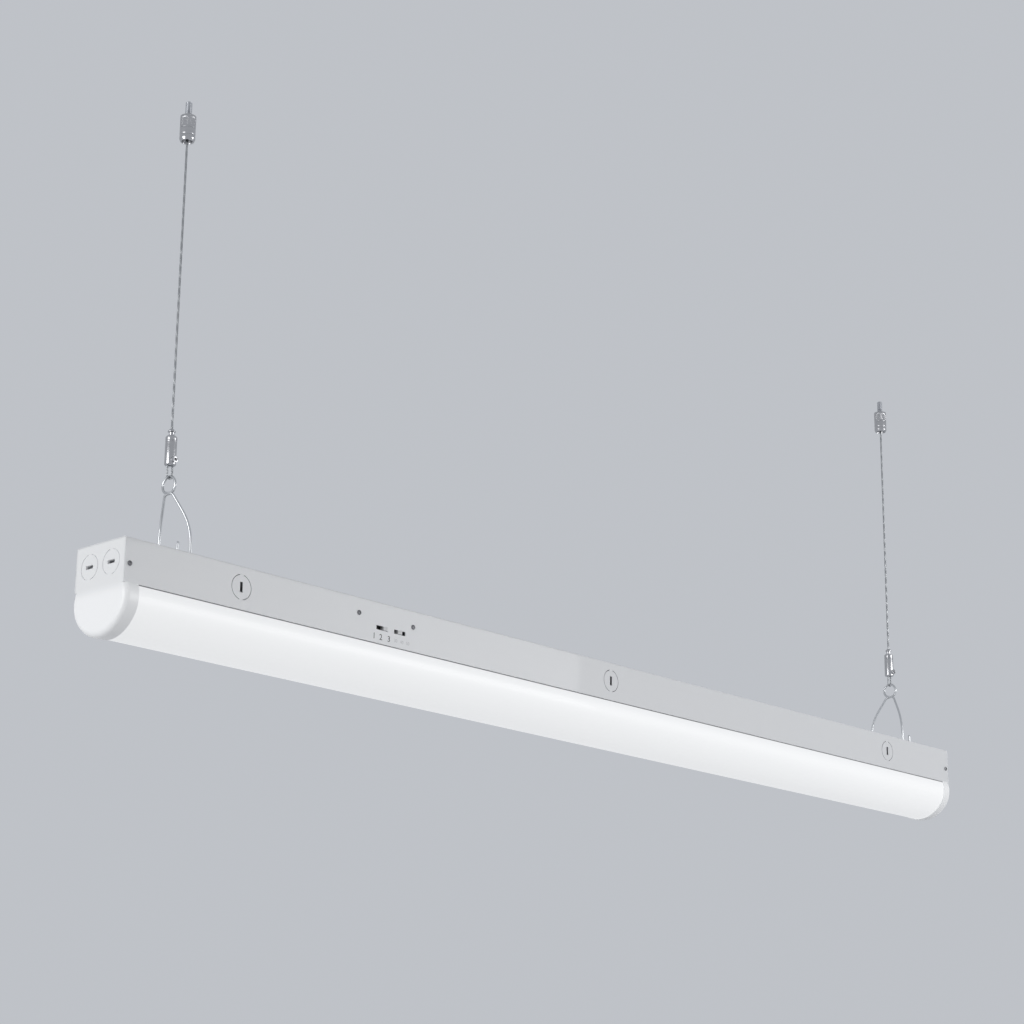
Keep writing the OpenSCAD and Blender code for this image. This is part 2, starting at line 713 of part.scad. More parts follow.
module end_cap(side) {
  plate_w = 2 * (wall_in - cap_gap);
  plate_top = -sheet_t - cap_gap;
  tongue_w = plate_w - 2 * cap_edge_r;
  lug_l = cap_screw_inset + 5;
  color(white) on_light() rotate([0, 0, side < 0 ? 0 : 180]) difference() {
    union() {
      cap_shell();
      along_x(-half_len, cap_wall_t - half_len) {
        translate([0, plate_top])
          round_top(plate_w, channel_h + cap_gap + plate_top, bend_r - sheet_t + cap_gap);
        translate([-tongue_w / 2, -channel_h - 2]) square([tongue_w, 3]);
      }
      for (wall = [-1, 1])
        along_x(-half_len, lug_l - half_len)
          translate([wall * (plate_w - lug_t) / 2 - lug_t / 2, -cap_screw_depth - lug_h / 2])
            square([lug_t, lug_h]);
    }
    for (wall = [-1, 1]) {
      translate([-half_len + cap_groove, wall * cap_knockout_pitch / 2, -knockout_depth])
        rotate([0, -90, 0]) rotate([0, 0, 90])
        knockout_cutter(cap_groove + over, true, cap_wall_t - cap_groove + over);
      bar_y(cap_screw_inset - half_len, -cap_screw_depth, wall * half_w - lug_t,
        wall * half_w + lug_t, 1.2);
    }
  }
}

module end_cap_screws() {
  color(zinc) on_light() for (end = [-1, 1], wall = [-1, 1])
    translate([end * (half_len - cap_screw_inset), wall * half_w, -cap_screw_depth])
      rotate([-90 * wall, 0, 0]) pan_screw(2.2, 1.15, 5);
}

// A pan-head screw along Z, head up, with its head's underside at Z = 0.
module pan_screw(head_r, shank_r, length) {
  difference() {
    union() {
      translate([0, 0, fit_gap]) cylinder(h = 1.3, r1 = head_r, r2 = head_r - 0.5);
      translate([0, 0, -length]) cylinder(h = length + 0.5, r = shank_r);
    }
    for (turn = [0, 90]) rotate([0, 0, turn])
      translate([0.6 - head_r, -0.3, 0.6]) cube([2 * head_r - 1.2, 0.6, over]);
  }
}

module lens() {
  color([0.96, 0.97, 0.97]) on_light() along_x(-lens_end, lens_end) {
    difference() {
      oval(lens_in, lens_top);
      oval(lens_in - lens_t, lens_top - lens_t);
      translate([-lens_mouth, lens_top - lens_t - over])
        square([2 * lens_mouth, lens_t + 2 * over]);
    }
  }
  color([0.96, 0.97, 0.97]) on_light() {
    snap_leg();
    mirror([0, 1, 0]) snap_leg();
  }
}

// The lens's back snap leg with its barb.
module snap_leg() {
  foot = lens_top - lens_t / 2;
  along_x(-lens_end, lens_end) polygon([
    [leg_out - leg_t, foot],
    [leg_out, foot],
    [leg_out, barb_z],
    [leg_out + barb_reach, barb_z],
    [leg_out, barb_z + barb_h],
    [leg_out - leg_t, barb_z + barb_h]
  ]);
}

// ---- Gear tray and LEDs ----

module gear_tray() {
  end = half_len - tray_setback;
  color(white) on_light() difference() {
    along_x(-end, end) {
      translate([-tray_w / 2, -tray_depth]) square([tray_w, sheet_t]);
      for (side = [-1, 1])
        translate([side * (tray_w - sheet_t) / 2 - sheet_t / 2, -tray_depth])
          square([sheet_t, tray_flange]);
    }
    for (x = bracket_x, side = [-1, 1])
      translate([x + bracket_l / 2, side * tray_screw_y, -tray_depth - over])
        cylinder(h = sheet_t + 2 * over, r = tray_screw_r + 0.2);
    translate([connector_x - connector[0] / 2 + 1, 1 - connector[1] / 2, -tray_depth - over])
      cube([connector[0] - 2, connector[1] - 2, sheet_t + 2 * over]);
  }
}

module tray_brackets() {
  low = tray_top + fit_gap;
  color(zinc) on_light() for (x = bracket_x) difference() {
    translate([x, -bracket_w / 2, low]) cube([bracket_l, bracket_w, -sheet_t - fit_gap - low]);
    translate([x + sheet_t, -bracket_w, low + sheet_t])
      cube([bracket_l, 2 * bracket_w, -2 * sheet_t - sheet_t - fit_gap - low]);
    for (side = [-1, 1]) translate([x + bracket_l / 2, side * tray_screw_y, low - over])
      cylinder(h = sheet_t + 2 * over, r = tray_screw_r + fit_gap);
  }
}

module tray_screws() {
  color(zinc) on_light() for (x = bracket_x, side = [-1, 1])
    translate([x + bracket_l / 2, side * tray_screw_y, -tray_depth])
      rotate([180, 0, 0]) pan_screw(3.4, tray_screw_r, 6);
}

module led_boards() {
  color(white) on_light() for (side = [-1, 1])
    translate([side * (led_board_len + led_board_gap) / 2, 0, -tray_depth - fit_gap - board_t / 2])
      cube([led_board_len, led_board_w, board_t], center = true);
}

module leds() {
  pitch = led_board_len / leds_per_board;
  color([0.98, 0.9, 0.55]) on_light() for (side = [-1, 1], k = [0 : leds_per_board - 1])
    translate([
      side * (led_board_gap / 2 + (k + 0.5) * pitch), 0, led_low - 2 * fit_gap - led_size[2] / 2
    ])
      cube(led_size, center = true);
}

module board_connector() {
  color([0.95, 0.95, 0.9]) on_light() translate([connector_x, 0, tray_top + fit_gap]) {
    difference() {
      translate([-connector[0] / 2, -connector[1] / 2, 0]) cube(connector);
      for (y = [-led_wire_y, led_wire_y])
        translate([-connector[0] / 2 - over, y, connector[2] / 2])
          rotate([0, 90, 0]) cylinder(h = led_wire_in + 2 * over, r = wire_r + 0.2);
    }
    translate([-4, -3, -sheet_t - fit_gap]) cube([8, 6, sheet_t + fit_gap + 1]);
  }
}

// ---- Driver ----

module driver_case() {
  wall = driver_wall;
  color(zinc) on_light() difference() {
    union() {
      translate([driver_x, driver_y, driver_low]) cube([driver_len, driver_w, driver_h]);
      for (at = side_screws)
        bar_y(at[0], at[1], rest_gap - wall_in, driver_y + wall / 2, side_boss_r);
    }
    translate([driver_x + wall, driver_y + wall, driver_low - over])
      cube([driver_len - 2 * wall, driver_w - 2 * wall, driver_h - wall + over]);
    for (at = side_screws)
      bar_y(at[0], at[1], -half_w, driver_y + wall + over, side_screw_r + fit_gap);
    for (y = [-led_wire_y, led_wire_y]) translate([driver_x - over, y, wire_level()])
      rotate([0, 90, 0]) cylinder(h = driver_len + 2 * over, r = wire_r + 0.3);
  }
}

function wire_level() = driver_top - 14;

module driver_lid() {
  wall = driver_wall + rest_gap;
  color(zinc) on_light() translate([driver_x + wall, driver_y + wall, driver_low])
    cube([driver_len - 2 * wall, driver_w - 2 * wall, 1]);
}

module driver_screws() {
  color(zinc) on_light() for (at = side_screws)
    translate([at[0], -half_w, at[1]]) rotate([90, 0, 0]) pan_screw(2.2, side_screw_r, 6);
}

module driver_board() {
  wall = driver_wall + 0.4;
  color(board_green) on_light()
    translate([driver_x + wall, driver_y + wall, driver_board_low])
      cube([driver_len - 2 * wall, driver_w - 2 * wall, board_t]);
}

module driver_transformer() {
  middle = [driver_x + 0.48 * driver_len, driver_y + driver_w / 2];
  notch = [3, core[1] + 2 * over, 4];
  color([0.15, 0.15, 0.16]) on_light()
    translate([middle[0], middle[1], driver_board_low - fit_gap]) difference() {
      translate([-core[0] / 2, -core[1] / 2, -core[2]]) cube(core);
      for (side = [-1, 1])
        translate([side * core[0] / 2 - notch[0], -notch[1] / 2, -core[2] - over])
          cube([2 * notch[0], notch[1], notch[2] + over]);
    }
}

module driver_capacitors() {
  color([0.1, 0.12, 0.2]) on_light()
    for (can = [big_can, small_can], nth = [0, 1])
      translate([
        driver_x + can[0] + nth * (2 * can[1] + can_gap), driver_y + can_y,
        driver_board_low - fit_gap - can[2]
      ])
        cylinder(h = can[2], r = can[1]);
}

module driver_choke() {
  color([0.7, 0.42, 0.15]) on_light()
    translate([driver_x + choke_x, driver_y + driver_w / 2, driver_board_low - rest_gap - choke_r])
      rotate_extrude() translate([choke_ring_r, 0]) circle(r = choke_r);
}

// ---- Selector switches ----

module switch_board() {
  color(board_green) on_light()
    translate([power_x - 12, board_y - board_t, -selector_depth - 4.6])
      cube([selector_pitch + 24, board_t, 10.4]);
}

module switch_bodies() {
  front = rest_gap - wall_in;
  depth = board_y - board_t - fit_gap - front;
  slot_l = knob_l + 2 * knob_travel + 0.4;
  color([0.1, 0.1, 0.11]) on_light() for (x = [power_x, colour_x]) difference() {
    translate([x - switch_l / 2, front, -selector_depth - switch_h / 2])
      cube([switch_l, depth, switch_h]);
    translate([x - slot_l / 2, front - over, -selector_depth - knob_h / 2 - knob_play])
      cube([slot_l, depth - 1 + over, knob_h + 2 * knob_play]);
  }
}

module selector_knob(x) {
  back = board_y - board_t - fit_gap - 1 - knob_play;
  front = -half_w - knob_proud;
  color(white) on_light() difference() {
    translate([x - knob_l / 2, front, -selector_depth - knob_h / 2])
      cube([knob_l, back - front, knob_h]);
    for (groove = [-1.2, 0, 1.2])
      translate([x + groove - 0.2, front - over, -selector_depth - knob_h])
        cube([0.4, over + 0.3, 2 * knob_h]);
  }
}

// ---- Supply side ----

module terminal_block() {
  top = -sheet_t - fit_gap;
  color([0.92, 0.55, 0.15]) on_light() difference() {
    translate([block_x, -block[1] / 2, top - block[2]]) cube(block);
    for (y = [-block_pitch, 0, block_pitch]) {
      translate([block_x - over, y, top - 8]) rotate([0, 90, 0]) cylinder(h = 10, r = wire_r + 0.4);
      translate([block_x + block[0] - 6, y, top - 8]) rotate([0, 90, 0])
        cylinder(h = 10, r = wire_r + 0.2);
    }
  }
}

module ground_screw() {
  color([0.25, 0.5, 0.25]) on_light() translate([ground_at[0], ground_at[1], 0]) {
    translate([0, 0, -sheet_t - 3]) cylinder(h = 3 - fit_gap, r = 4);
    translate([0, 0, -sheet_t - 2]) cylinder(h = sheet_t + 1.9, r = ground_r);
  }
}

block_end = block_x + block[0];
block_wire_z = -sheet_t - fit_gap - 8;

// The two supply wires, from the terminal block into the driver's end.
module supply_wires() {
  for (w = [[-block_pitch, -led_wire_y, 0.12], [0, led_wire_y, 0.9]])
    color([w[2], w[2], w[2]]) on_light() tube(bent_path(
      [block_end, w[0], block_wire_z], [driver_x, w[1], wire_level()], 4, 3
    ), wire_r);
}

// A path from one point to another that leaves and arrives along X, in an S-bend.
function bent_path(from, to, before, after) = concat(
  [from - [before, 0, 0]],
  [for (i = [0 : 10]) let (t = i / 10, ease = (1 - cos(180 * t)) / 2)
    [from[0] + 3 + (to[0] - from[0] - 6) * t, from[1] + (to[1] - from[1]) * ease,
      from[2] + (to[2] - from[2]) * ease]],
  [to + [after, 0, 0]]
);

// The ground wire, from the terminal block to the ground screw's head.
module ground_wire() {
  color([0.2, 0.5, 0.2]) on_light() tube(bent_path(
    [block_end, block_pitch, block_wire_z],
    [ground_at[0], ground_at[1], -sheet_t - 3 - wire_r - fit_gap], 4, 4
  ), wire_r);
}

// The two wires from the driver's other end down to the connector on the tray.
module led_wires() {
  from = driver_x + driver_len;
  z = tray_top + fit_gap + connector[2] / 2;
  for (y = [-led_wire_y, led_wire_y])
    color([0.75, 0.15, 0.12]) on_light() tube(bent_path(
      [from, y, wire_level()], [connector_x - connector[0] / 2, y, z], 3, led_wire_in
    ), wire_r);
}

ceiling_stud(-1);  // ceiling_stud_left
ceiling_stud(1);  // ceiling_stud_right
coupler_body(-1);  // coupler_body_left
coupler_body(1);  // coupler_body_right
coupler_cap(-1);  // coupler_cap_left
coupler_cap(1);  // coupler_cap_right
swivel_seat(-1);  // swivel_seat_left
swivel_seat(1);  // swivel_seat_right
cable_end_ball(-1);  // cable_end_ball_left
cable_end_ball(1);  // cable_end_ball_right
cable(-1);  // cable_left
cable(1);  // cable_right
gripper_barrel(-1);  // gripper_barrel_left
gripper_barrel(1);  // gripper_barrel_right
gripper_plug(-1);  // gripper_plug_left
gripper_plug(1);  // gripper_plug_right
release_plunger(-1);  // release_plunger_left
release_plunger(1);  // release_plunger_right
jaw_ball_set(-1);  // jaw_balls_left
jaw_ball_set(1);  // jaw_balls_right
release_spring(-1);  // release_spring_left
release_spring(1);  // release_spring_right
lock_screw(-1);  // lock_screw_left
lock_screw(1);  // lock_screw_right
cable_loop(-1);  // cable_loop_left
cable_loop(1);  // cable_loop_right
v_hook(-1);  // v_hook_left
v_hook(1);  // v_hook_right
channel();
end_cap(-1);  // end_cap_left
end_cap(1);  // end_cap_right
end_cap_screws();
lens();
gear_tray();
tray_brackets();
tray_screws();
led_boards();
leds();
board_connector();
driver_case();
driver_lid();
driver_screws();
driver_board();
driver_transformer();
driver_capacitors();
driver_choke();
switch_board();
switch_bodies();
selector_knob(power_knob_x);  // power_knob
selector_knob(colour_x);  // colour_knob
terminal_block();
ground_screw();
supply_wires();
ground_wire();
led_wires();
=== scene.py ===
"""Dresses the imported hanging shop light: wire, cable, moulded caps, frosted lens, paint and light.

X runs along the light, Y across it with the selectors at the front (-Y), and Z up. Z = 0 is the
ceiling. Sizes are written in millimetres and turned into metres as each shape is made.
"""

import bmesh
import bpy
import numpy as np
from mathutils import Matrix, Vector


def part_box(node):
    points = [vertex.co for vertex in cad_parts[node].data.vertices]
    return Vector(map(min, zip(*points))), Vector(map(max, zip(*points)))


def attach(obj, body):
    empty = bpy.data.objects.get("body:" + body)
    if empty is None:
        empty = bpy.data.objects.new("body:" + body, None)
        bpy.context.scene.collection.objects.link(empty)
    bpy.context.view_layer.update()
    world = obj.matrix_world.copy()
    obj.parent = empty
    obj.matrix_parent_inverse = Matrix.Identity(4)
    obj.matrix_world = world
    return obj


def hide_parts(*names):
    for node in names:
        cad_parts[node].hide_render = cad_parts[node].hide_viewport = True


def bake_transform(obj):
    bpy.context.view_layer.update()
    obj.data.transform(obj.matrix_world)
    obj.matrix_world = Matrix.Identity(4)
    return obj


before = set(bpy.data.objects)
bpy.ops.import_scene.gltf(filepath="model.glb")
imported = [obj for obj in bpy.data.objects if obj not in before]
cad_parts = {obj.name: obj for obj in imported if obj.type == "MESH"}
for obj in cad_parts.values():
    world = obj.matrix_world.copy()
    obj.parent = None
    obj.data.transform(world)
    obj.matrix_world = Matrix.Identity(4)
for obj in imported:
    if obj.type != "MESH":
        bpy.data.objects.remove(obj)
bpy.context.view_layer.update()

MM = 0.001
TAU = 2 * np.pi
SMOOTH_ANGLE = np.radians(32)  # edges sharper than this stay crisp

# ---- Places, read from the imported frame, in millimetres ----


def low_high(node):
    """A node's lowest and highest corners, in millimetres."""
    low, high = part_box(node)
    return np.array(low) / MM, np.array(high) / MM


channel_low, channel_high = low_high("channel")
TOP = channel_high[2]  # the channel's top
HALF_LEN = channel_high[0]
HALF_W = channel_high[1]
LIP_Z = channel_low[2]  # the channel's lower edge
CHANNEL_H = TOP - LIP_Z
LENS_DEPTH = CHANNEL_H + 1.0  # from the channel's top, with the open joint under the channel
LENS_END = low_high("lens")[1][0]
LIGHT_LOW = low_high("end_cap_left")[0][2]
LIGHT_H = TOP - LIGHT_LOW
HANGER_X = np.mean([corner[0] for corner in low_high("cable_right")])
SIDES = (("left", -1), ("right", 1))

# ---- Camera: the photograph's angle, from below and in front of the left end ----

CAMERA_AT = Vector((-1.738453, -1.506222, -0.920024))
LENS_MM = 83.69
YAW, PITCH, ROLL = np.radians((42.779, 16.406, 0.588))


def aim_camera():
    """Makes the camera. Its forward line is turned YAW from +X to +Y and raised by PITCH."""
    level = Vector((np.cos(YAW), np.sin(YAW), 0))
    side = Vector((np.sin(YAW), -np.cos(YAW), 0))
    ahead = np.cos(PITCH) * level + np.sin(PITCH) * Vector((0, 0, 1))
    up = np.cos(PITCH) * Vector((0, 0, 1)) - np.sin(PITCH) * level
    right = np.cos(ROLL) * side + np.sin(ROLL) * up
    up = np.cos(ROLL) * up - np.sin(ROLL) * side
    data = bpy.data.cameras.new("camera")
    data.lens = LENS_MM
    data.sensor_width = 36
    camera = bpy.data.objects.new("camera", data)
    bpy.context.scene.collection.objects.link(camera)
    turn = Matrix((right, up, -ahead)).transposed().to_4x4()
    camera.matrix_world = Matrix.Translation(CAMERA_AT) @ turn
    bpy.context.scene.camera = camera


aim_camera()

# ---- Surfaces on grids ----


def sheet_faces(rows, columns):
    """Quads between the points of a grid whose last column joins the first."""
    i, j = np.meshgrid(np.arange(rows - 1), np.arange(columns), indexing="ij")
    k = (j + 1) % columns
    corners = (i * columns + j, i * columns + k, (i + 1) * columns + k, (i + 1) * columns + j)
    return np.stack([c.ravel() for c in corners], axis=1)


def outward(points, faces):
    """The faces as lists, all turned over if the volume they enclose comes out negative."""
    volume = 0
    for corners in {len(face) for face in faces}:
        same = np.array([face for face in faces if len(face) == corners])
        place = points[same] - points[0]
        fan = np.cross(place[:, 1:-1], place[:, 2:])
        volume += np.einsum("ik,ijk->", place[:, 0], fan)
    return points, [face[::-1] for face in faces] if volume < 0 else faces


def shell(grid, ends="fan", ring=False):
    """A closed skin over a grid of points whose columns go round.

    The two end rows are closed by fans round their middle points, or with ends="flat" by one
    face each. For a ring, the last row joins the first.
    """
    rows, columns = grid.shape[:2]
    points = grid.reshape(-1, 3)
    if ring:
        walls = sheet_faces(rows + 1, columns) % (rows * columns)
        return outward(points, walls.tolist())
    faces = sheet_faces(rows, columns).tolist()
    around = np.arange(columns)
    last = (rows - 1) * columns
    if ends == "flat":
        faces += [around[::-1].tolist(), (last + around).tolist()]
    else:
        after = (around + 1) % columns
        middle = np.full(columns, len(points))
        faces += np.stack([middle, after, around], axis=1).tolist()
        faces += np.stack([middle + 1, last + around, last + after], axis=1).tolist()
        points = np.vstack([points, grid[0].mean(0), grid[-1].mean(0)])
    return outward(points, faces)


def piece(name, skins, body, material, replaces=(), smooth=SMOOTH_ANGLE):
    """One object from one or more skins, in millimetres, riding on a body unless that is None."""
    start, points, faces = 0, [], []
    for skin_points, skin_faces in skins:
        points.append(skin_points)
        faces += [[corner + start for corner in face] for face in skin_faces]
        start += len(skin_points)
    mesh = bpy.data.meshes.new(name)
    mesh.from_pydata((np.vstack(points) * MM).tolist(), [], faces)
    mesh.polygons.foreach_set("use_smooth", np.ones(len(mesh.polygons), bool))
    mesh.set_sharp_from_angle(angle=smooth)
    mesh.materials.append(material)
    obj = bpy.data.objects.new(name, mesh)
    bpy.context.scene.collection.objects.link(obj)
    if body:
        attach(obj, body)
    if replaces:
        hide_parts(*replaces)
    return obj


def turned(profile, at, steps=64, along=(0, 0, 1), wobble=None, ring=False):
    """A skin turned round an axis: each profile point (radius, height) makes a circle.

    wobble(angle, radius, height) gives a new radius and height, as a knurl or a recess does.
    A ring's profile goes once round its section, so that the skin has a hole.
    """
    profile = np.array(profile, float)
    angle = np.arange(steps) / steps * TAU
    radius, height = np.repeat(profile.T[..., None], steps, axis=2)
    if wobble:
        radius, height = wobble(angle[None, :], radius, height)
    axis = np.array(along, float)
    side = np.array((1.0, 0, 0))
    parts = np.stack([radius * np.cos(angle), radius * np.sin(angle), height], axis=-1)
    grid = np.array(at, float) + parts @ np.array([side, np.cross(axis, side), axis])
    return shell(grid, ring=ring)


def extruded(outline, places, at=(0, 0, 0)):
    """An outline of (Y, Z) points carried along X through the places, with flat ends."""
    grid = np.empty((len(places), len(outline), 3))
    grid[..., 0] = np.array(places)[:, None]
    grid[..., 1:] = outline
    return shell(grid + np.array(at, float), ends="flat")


def lengths(path):
    """The length along a path at each of its points: the sum of the steps before it."""
    return np.concatenate([[0], np.cumsum(np.linalg.norm(np.diff(path, axis=0), axis=1))])


def frames(path):
    """Two cross directions for each point of a path, carried along it without twist."""
    tangent = np.gradient(path, axis=0)
    tangent /= np.linalg.norm(tangent, axis=1)[:, None]
    guess = np.eye(3)[np.argmin(np.abs(tangent[0]))]
    normals = [np.cross(tangent[0], guess)]
    for t in tangent[1:]:
        normals.append(normals[-1] - t * np.dot(normals[-1], t))
    normal = np.array(normals)
    normal /= np.linalg.norm(normal, axis=1)[:, None]
    return normal, np.cross(tangent, normal)


def swept(path, radius, sides=16, lobes=None):
    """A round skin along a path; radius is one number or one for each point of the path.

    lobes(angle, length along the path) is a factor on the radius, as the strands of a rope are.
    """
    path = np.array(path, float)
    normal, other = frames(path)
    angle = np.arange(sides) / sides * TAU
    along = lengths(path)
    reach = np.broadcast_to(np.asarray(radius, float), len(path))[:, None] * np.ones(sides)
    if lobes:
        reach = reach * lobes(angle[None, :], along[:, None])
    grid = (
        path[:, None]
        + (reach * np.cos(angle))[..., None] * normal[:, None]
        + (reach * np.sin(angle))[..., None] * other[:, None]
    )
    return shell(grid)


def rounded(points):
    """Cuts each corner of an open line at a quarter and three quarters, three times over."""
    points = np.array(points, float)
    for _ in range(3):
        quarter = 0.75 * points[:-1] + 0.25 * points[1:]
        three = 0.25 * points[:-1] + 0.75 * points[1:]
        inner = np.stack([quarter, three], axis=1).reshape(-1, 3)
        points = np.vstack([points[:1], inner[1:-1], points[-1:]])
    return points


def at_radius(radius, heights):
    """Profile points (radius, height) at one radius and many heights."""
    return np.stack([np.full_like(heights, radius), heights], axis=1)


def at_height(radii, height):
    """Profile points (radius, height) at many radii and one height."""
    return np.stack([radii, np.full_like(radii, height)], axis=1)


# ---- Shader tools ----


class Nodes:
    """Adds nodes to one tree and links them by socket name."""

    def __init__(self, tree):
        self.tree = tree

    def add(self, kind, inputs=None, **settings):
        node = self.tree.nodes.new(kind)
        for key, value in settings.items():
            setattr(node, key, value)
        for key, value in (inputs or {}).items():
            if isinstance(value, bpy.types.NodeSocket):
                self.tree.links.new(value, node.inputs[key])
            else:
                node.inputs[key].default_value = value
        return node

    def math(self, operation, *values):
        node = self.add("ShaderNodeMath", dict(enumerate(values)), operation=operation)
        return node.outputs[0]

    def mix(self, factor, first, second):
        node = self.add("ShaderNodeMix", data_type="RGBA")
        for socket, value in zip((node.inputs[0], node.inputs[6], node.inputs[7]),
                                 (factor, first, second)):
            if isinstance(value, bpy.types.NodeSocket):
                self.tree.links.new(value, socket)
            else:
                socket.default_value = value
        return node.outputs[2]

    def place(self):
        return self.add("ShaderNodeTexCoord").outputs["Object"]

    def part(self, vector, axis):
        return self.add("ShaderNodeSeparateXYZ", {0: vector}).outputs[axis]

    def noise(self, place, scale, detail, roughness):
        return self.add("ShaderNodeTexNoise", {"Vector": place, "Scale": scale, "Detail": detail,
                                               "Roughness": roughness}).outputs["Fac"]

    def fade(self, value, start, end, **settings):
        """0 up to start and 1 from end on."""
        return self.add("ShaderNodeMapRange", {"Value": value, "From Min": start, "From Max": end},
                        **settings).outputs[0]


def new_group(name, inputs, outputs):
    """A shader node group with named inputs, each with its default, and named outputs."""
    tree = bpy.data.node_groups.new(name, "ShaderNodeTree")
    for label, kind, value in inputs:
        socket = tree.interface.new_socket(label, in_out="INPUT", socket_type=kind)
        socket.default_value = value
    for label, kind in outputs:
        tree.interface.new_socket(label, in_out="OUTPUT", socket_type=kind)
    nodes = Nodes(tree)
    return nodes, nodes.add("NodeGroupInput").outputs, nodes.add("NodeGroupOutput").inputs


FLOAT, COLOUR, VECTOR = "NodeSocketFloat", "NodeSocketColor", "NodeSocketVector"


def close_group(nodes, given, out, shift, relief, strength):
    """Ends a group: shift moves its colour and roughness, and relief is the skin's height."""
    lift = nodes.math("MULTIPLY_ADD", shift, given["Shade"], 1.0)
    colour = nodes.add("ShaderNodeVectorMath", {0: given["Colour"], "Scale": lift},
                       operation="SCALE").outputs[0]
    rough = nodes.math("MULTIPLY_ADD", shift, given["Roughness spread"], given["Roughness"])
    bump = nodes.add("ShaderNodeBump", {"Height": relief, "Strength": strength,
                                        "Distance": nodes.math("MULTIPLY", given["Height"], MM)})
    for label, value in (("Colour", colour), ("Roughness", rough), ("Normal", bump.outputs[0])):
        nodes.tree.links.new(value, out[label])
    return nodes.tree


def make_grain_group():
    """Fine grain on a skin: a little colour, roughness and height from two sizes of noise."""
    nodes, given, out = new_group(
        "fine_grain",
        [
            ("Colour", COLOUR, (0.8, 0.8, 0.8, 1)),
            ("Shade", FLOAT, 0.04),
            ("Grain size", FLOAT, 0.6),
            ("Roughness", FLOAT, 0.4),
            ("Roughness spread", FLOAT, 0.06),
            ("Height", FLOAT, 0.02),
        ],
        [("Colour", COLOUR), ("Roughness", FLOAT), ("Normal", VECTOR)],
    )
    place = nodes.place()
    fine = nodes.noise(place, nodes.math("DIVIDE", 1 / MM, given["Grain size"]), 3.0, 0.6)
    broad = nodes.noise(place, 9.0, 4.0, 0.55)
    speck = nodes.math("MULTIPLY", nodes.math("SUBTRACT", fine, 0.5), 0.5)
    both = nodes.math("ADD", nodes.math("SUBTRACT", broad, 0.5), speck)
    return close_group(nodes, given, out, both, fine, 0.6)


def make_drawn_group():
    """Drawn or brushed metal: streaks stretched along one axis, by noise squeezed across it."""
    nodes, given, out = new_group(
        "drawn_metal",
        [
            ("Colour", COLOUR, (0.6, 0.6, 0.6, 1)),
            ("Stretch", VECTOR, (1, 1, 1)),
            ("Shade", FLOAT, 0.15),
            ("Roughness", FLOAT, 0.3),
            ("Roughness spread", FLOAT, 0.1),
            ("Height", FLOAT, 0.01),
        ],
        [("Colour", COLOUR), ("Roughness", FLOAT), ("Normal", VECTOR)],
    )
    place = nodes.place()
    squeezed = nodes.add("ShaderNodeVectorMath", {0: place, 1: given["Stretch"]},
                         operation="MULTIPLY").outputs[0]
    streak = nodes.noise(squeezed, 900.0, 3.0, 0.65)
    cloud = nodes.noise(place, 110.0, 3.0, 0.6)
    both = nodes.math("SUBTRACT", nodes.math("ADD", streak, cloud), 1.0)
    return close_group(nodes, given, out, both, streak, 0.5)


def make_dust_group():
    """Settled dust: a veil of dull grey on faces that look up, broken by soft noise."""
    nodes, given, out = new_group(
        "settled_dust",
        [
            ("Colour", COLOUR, (0.8, 0.8, 0.8, 1)),
            ("Roughness", FLOAT, 0.4),
            ("Amount", FLOAT, 0.15),
        ],
        [("Colour", COLOUR), ("Roughness", FLOAT)],
    )
    facing = nodes.part(nodes.add("ShaderNodeNewGeometry").outputs["Normal"], "Z")
    above = nodes.fade(facing, 0.5, 1.0)
    patch = nodes.fade(nodes.noise(nodes.place(), 45.0, 5.0, 0.7), 0.35, 0.7)
    veil = nodes.math("MULTIPLY", nodes.math("MULTIPLY", above, patch), given["Amount"])
    tree = nodes.tree
    tree.links.new(nodes.mix(veil, given["Colour"], (0.42, 0.41, 0.39, 1)), out["Colour"])
    tree.links.new(nodes.math("ADD", given["Roughness"], veil), out["Roughness"])
    return tree


GRAIN = make_grain_group()
DRAWN = make_drawn_group()
DUST = make_dust_group()


def own_finish(name):
    """An empty material and the tool that fills it; the caller adds the shader."""
    material = bpy.data.materials.new(name)
    material.use_nodes = True
    material.node_tree.nodes.clear()
    return material, Nodes(material.node_tree)


def spaced(values):
    """The same values under the names that sockets have, with spaces."""
    return {key.replace("_", " "): value for key, value in values.items()}


def close_finish(nodes, skin, **shader):
    """Adds the Principled shader, with colour, roughness and normal from skin, and the output."""
    inputs = {"Base Color": skin["Colour"], "Roughness": skin["Roughness"],
              "Normal": skin["Normal"], **spaced(shader)}
    bsdf = nodes.add("ShaderNodeBsdfPrincipled", inputs)
    nodes.add("ShaderNodeOutputMaterial", {"Surface": bsdf.outputs[0]})


def grain_node(nodes, colour, **values):
    """A fine_grain group placed in a material, with a colour socket or a plain colour."""
    if not isinstance(colour, bpy.types.NodeSocket):
        colour = (*colour, 1)
    return nodes.add("ShaderNodeGroup", {"Colour": colour, **spaced(values)},
                     node_tree=GRAIN).outputs


def finish_of(name, group, inputs, dust=0.0, **shader):
    """A material whose skin comes from a group, under dust or not."""
    material, nodes = own_finish(name)
    skin = dict(nodes.add("ShaderNodeGroup", inputs, node_tree=group).outputs.items())
    if dust:
        veil = {"Colour": skin["Colour"], "Roughness": skin["Roughness"], "Amount": dust}
        skin |= nodes.add("ShaderNodeGroup", veil, node_tree=DUST).outputs.items()
    close_finish(nodes, skin, **shader)
    return material


def grained(name, colour, rough, grain=0.6, height=0.02, shade=0.04, **more):
    """Moulded, painted or printed: fine grain of `grain` mm, all round the same."""
    inputs = {"Colour": (*colour, 1), "Shade": shade, "Grain size": grain, "Roughness": rough,
              "Roughness spread": 0.06, "Height": height}
    return finish_of(name, GRAIN, inputs, **more)


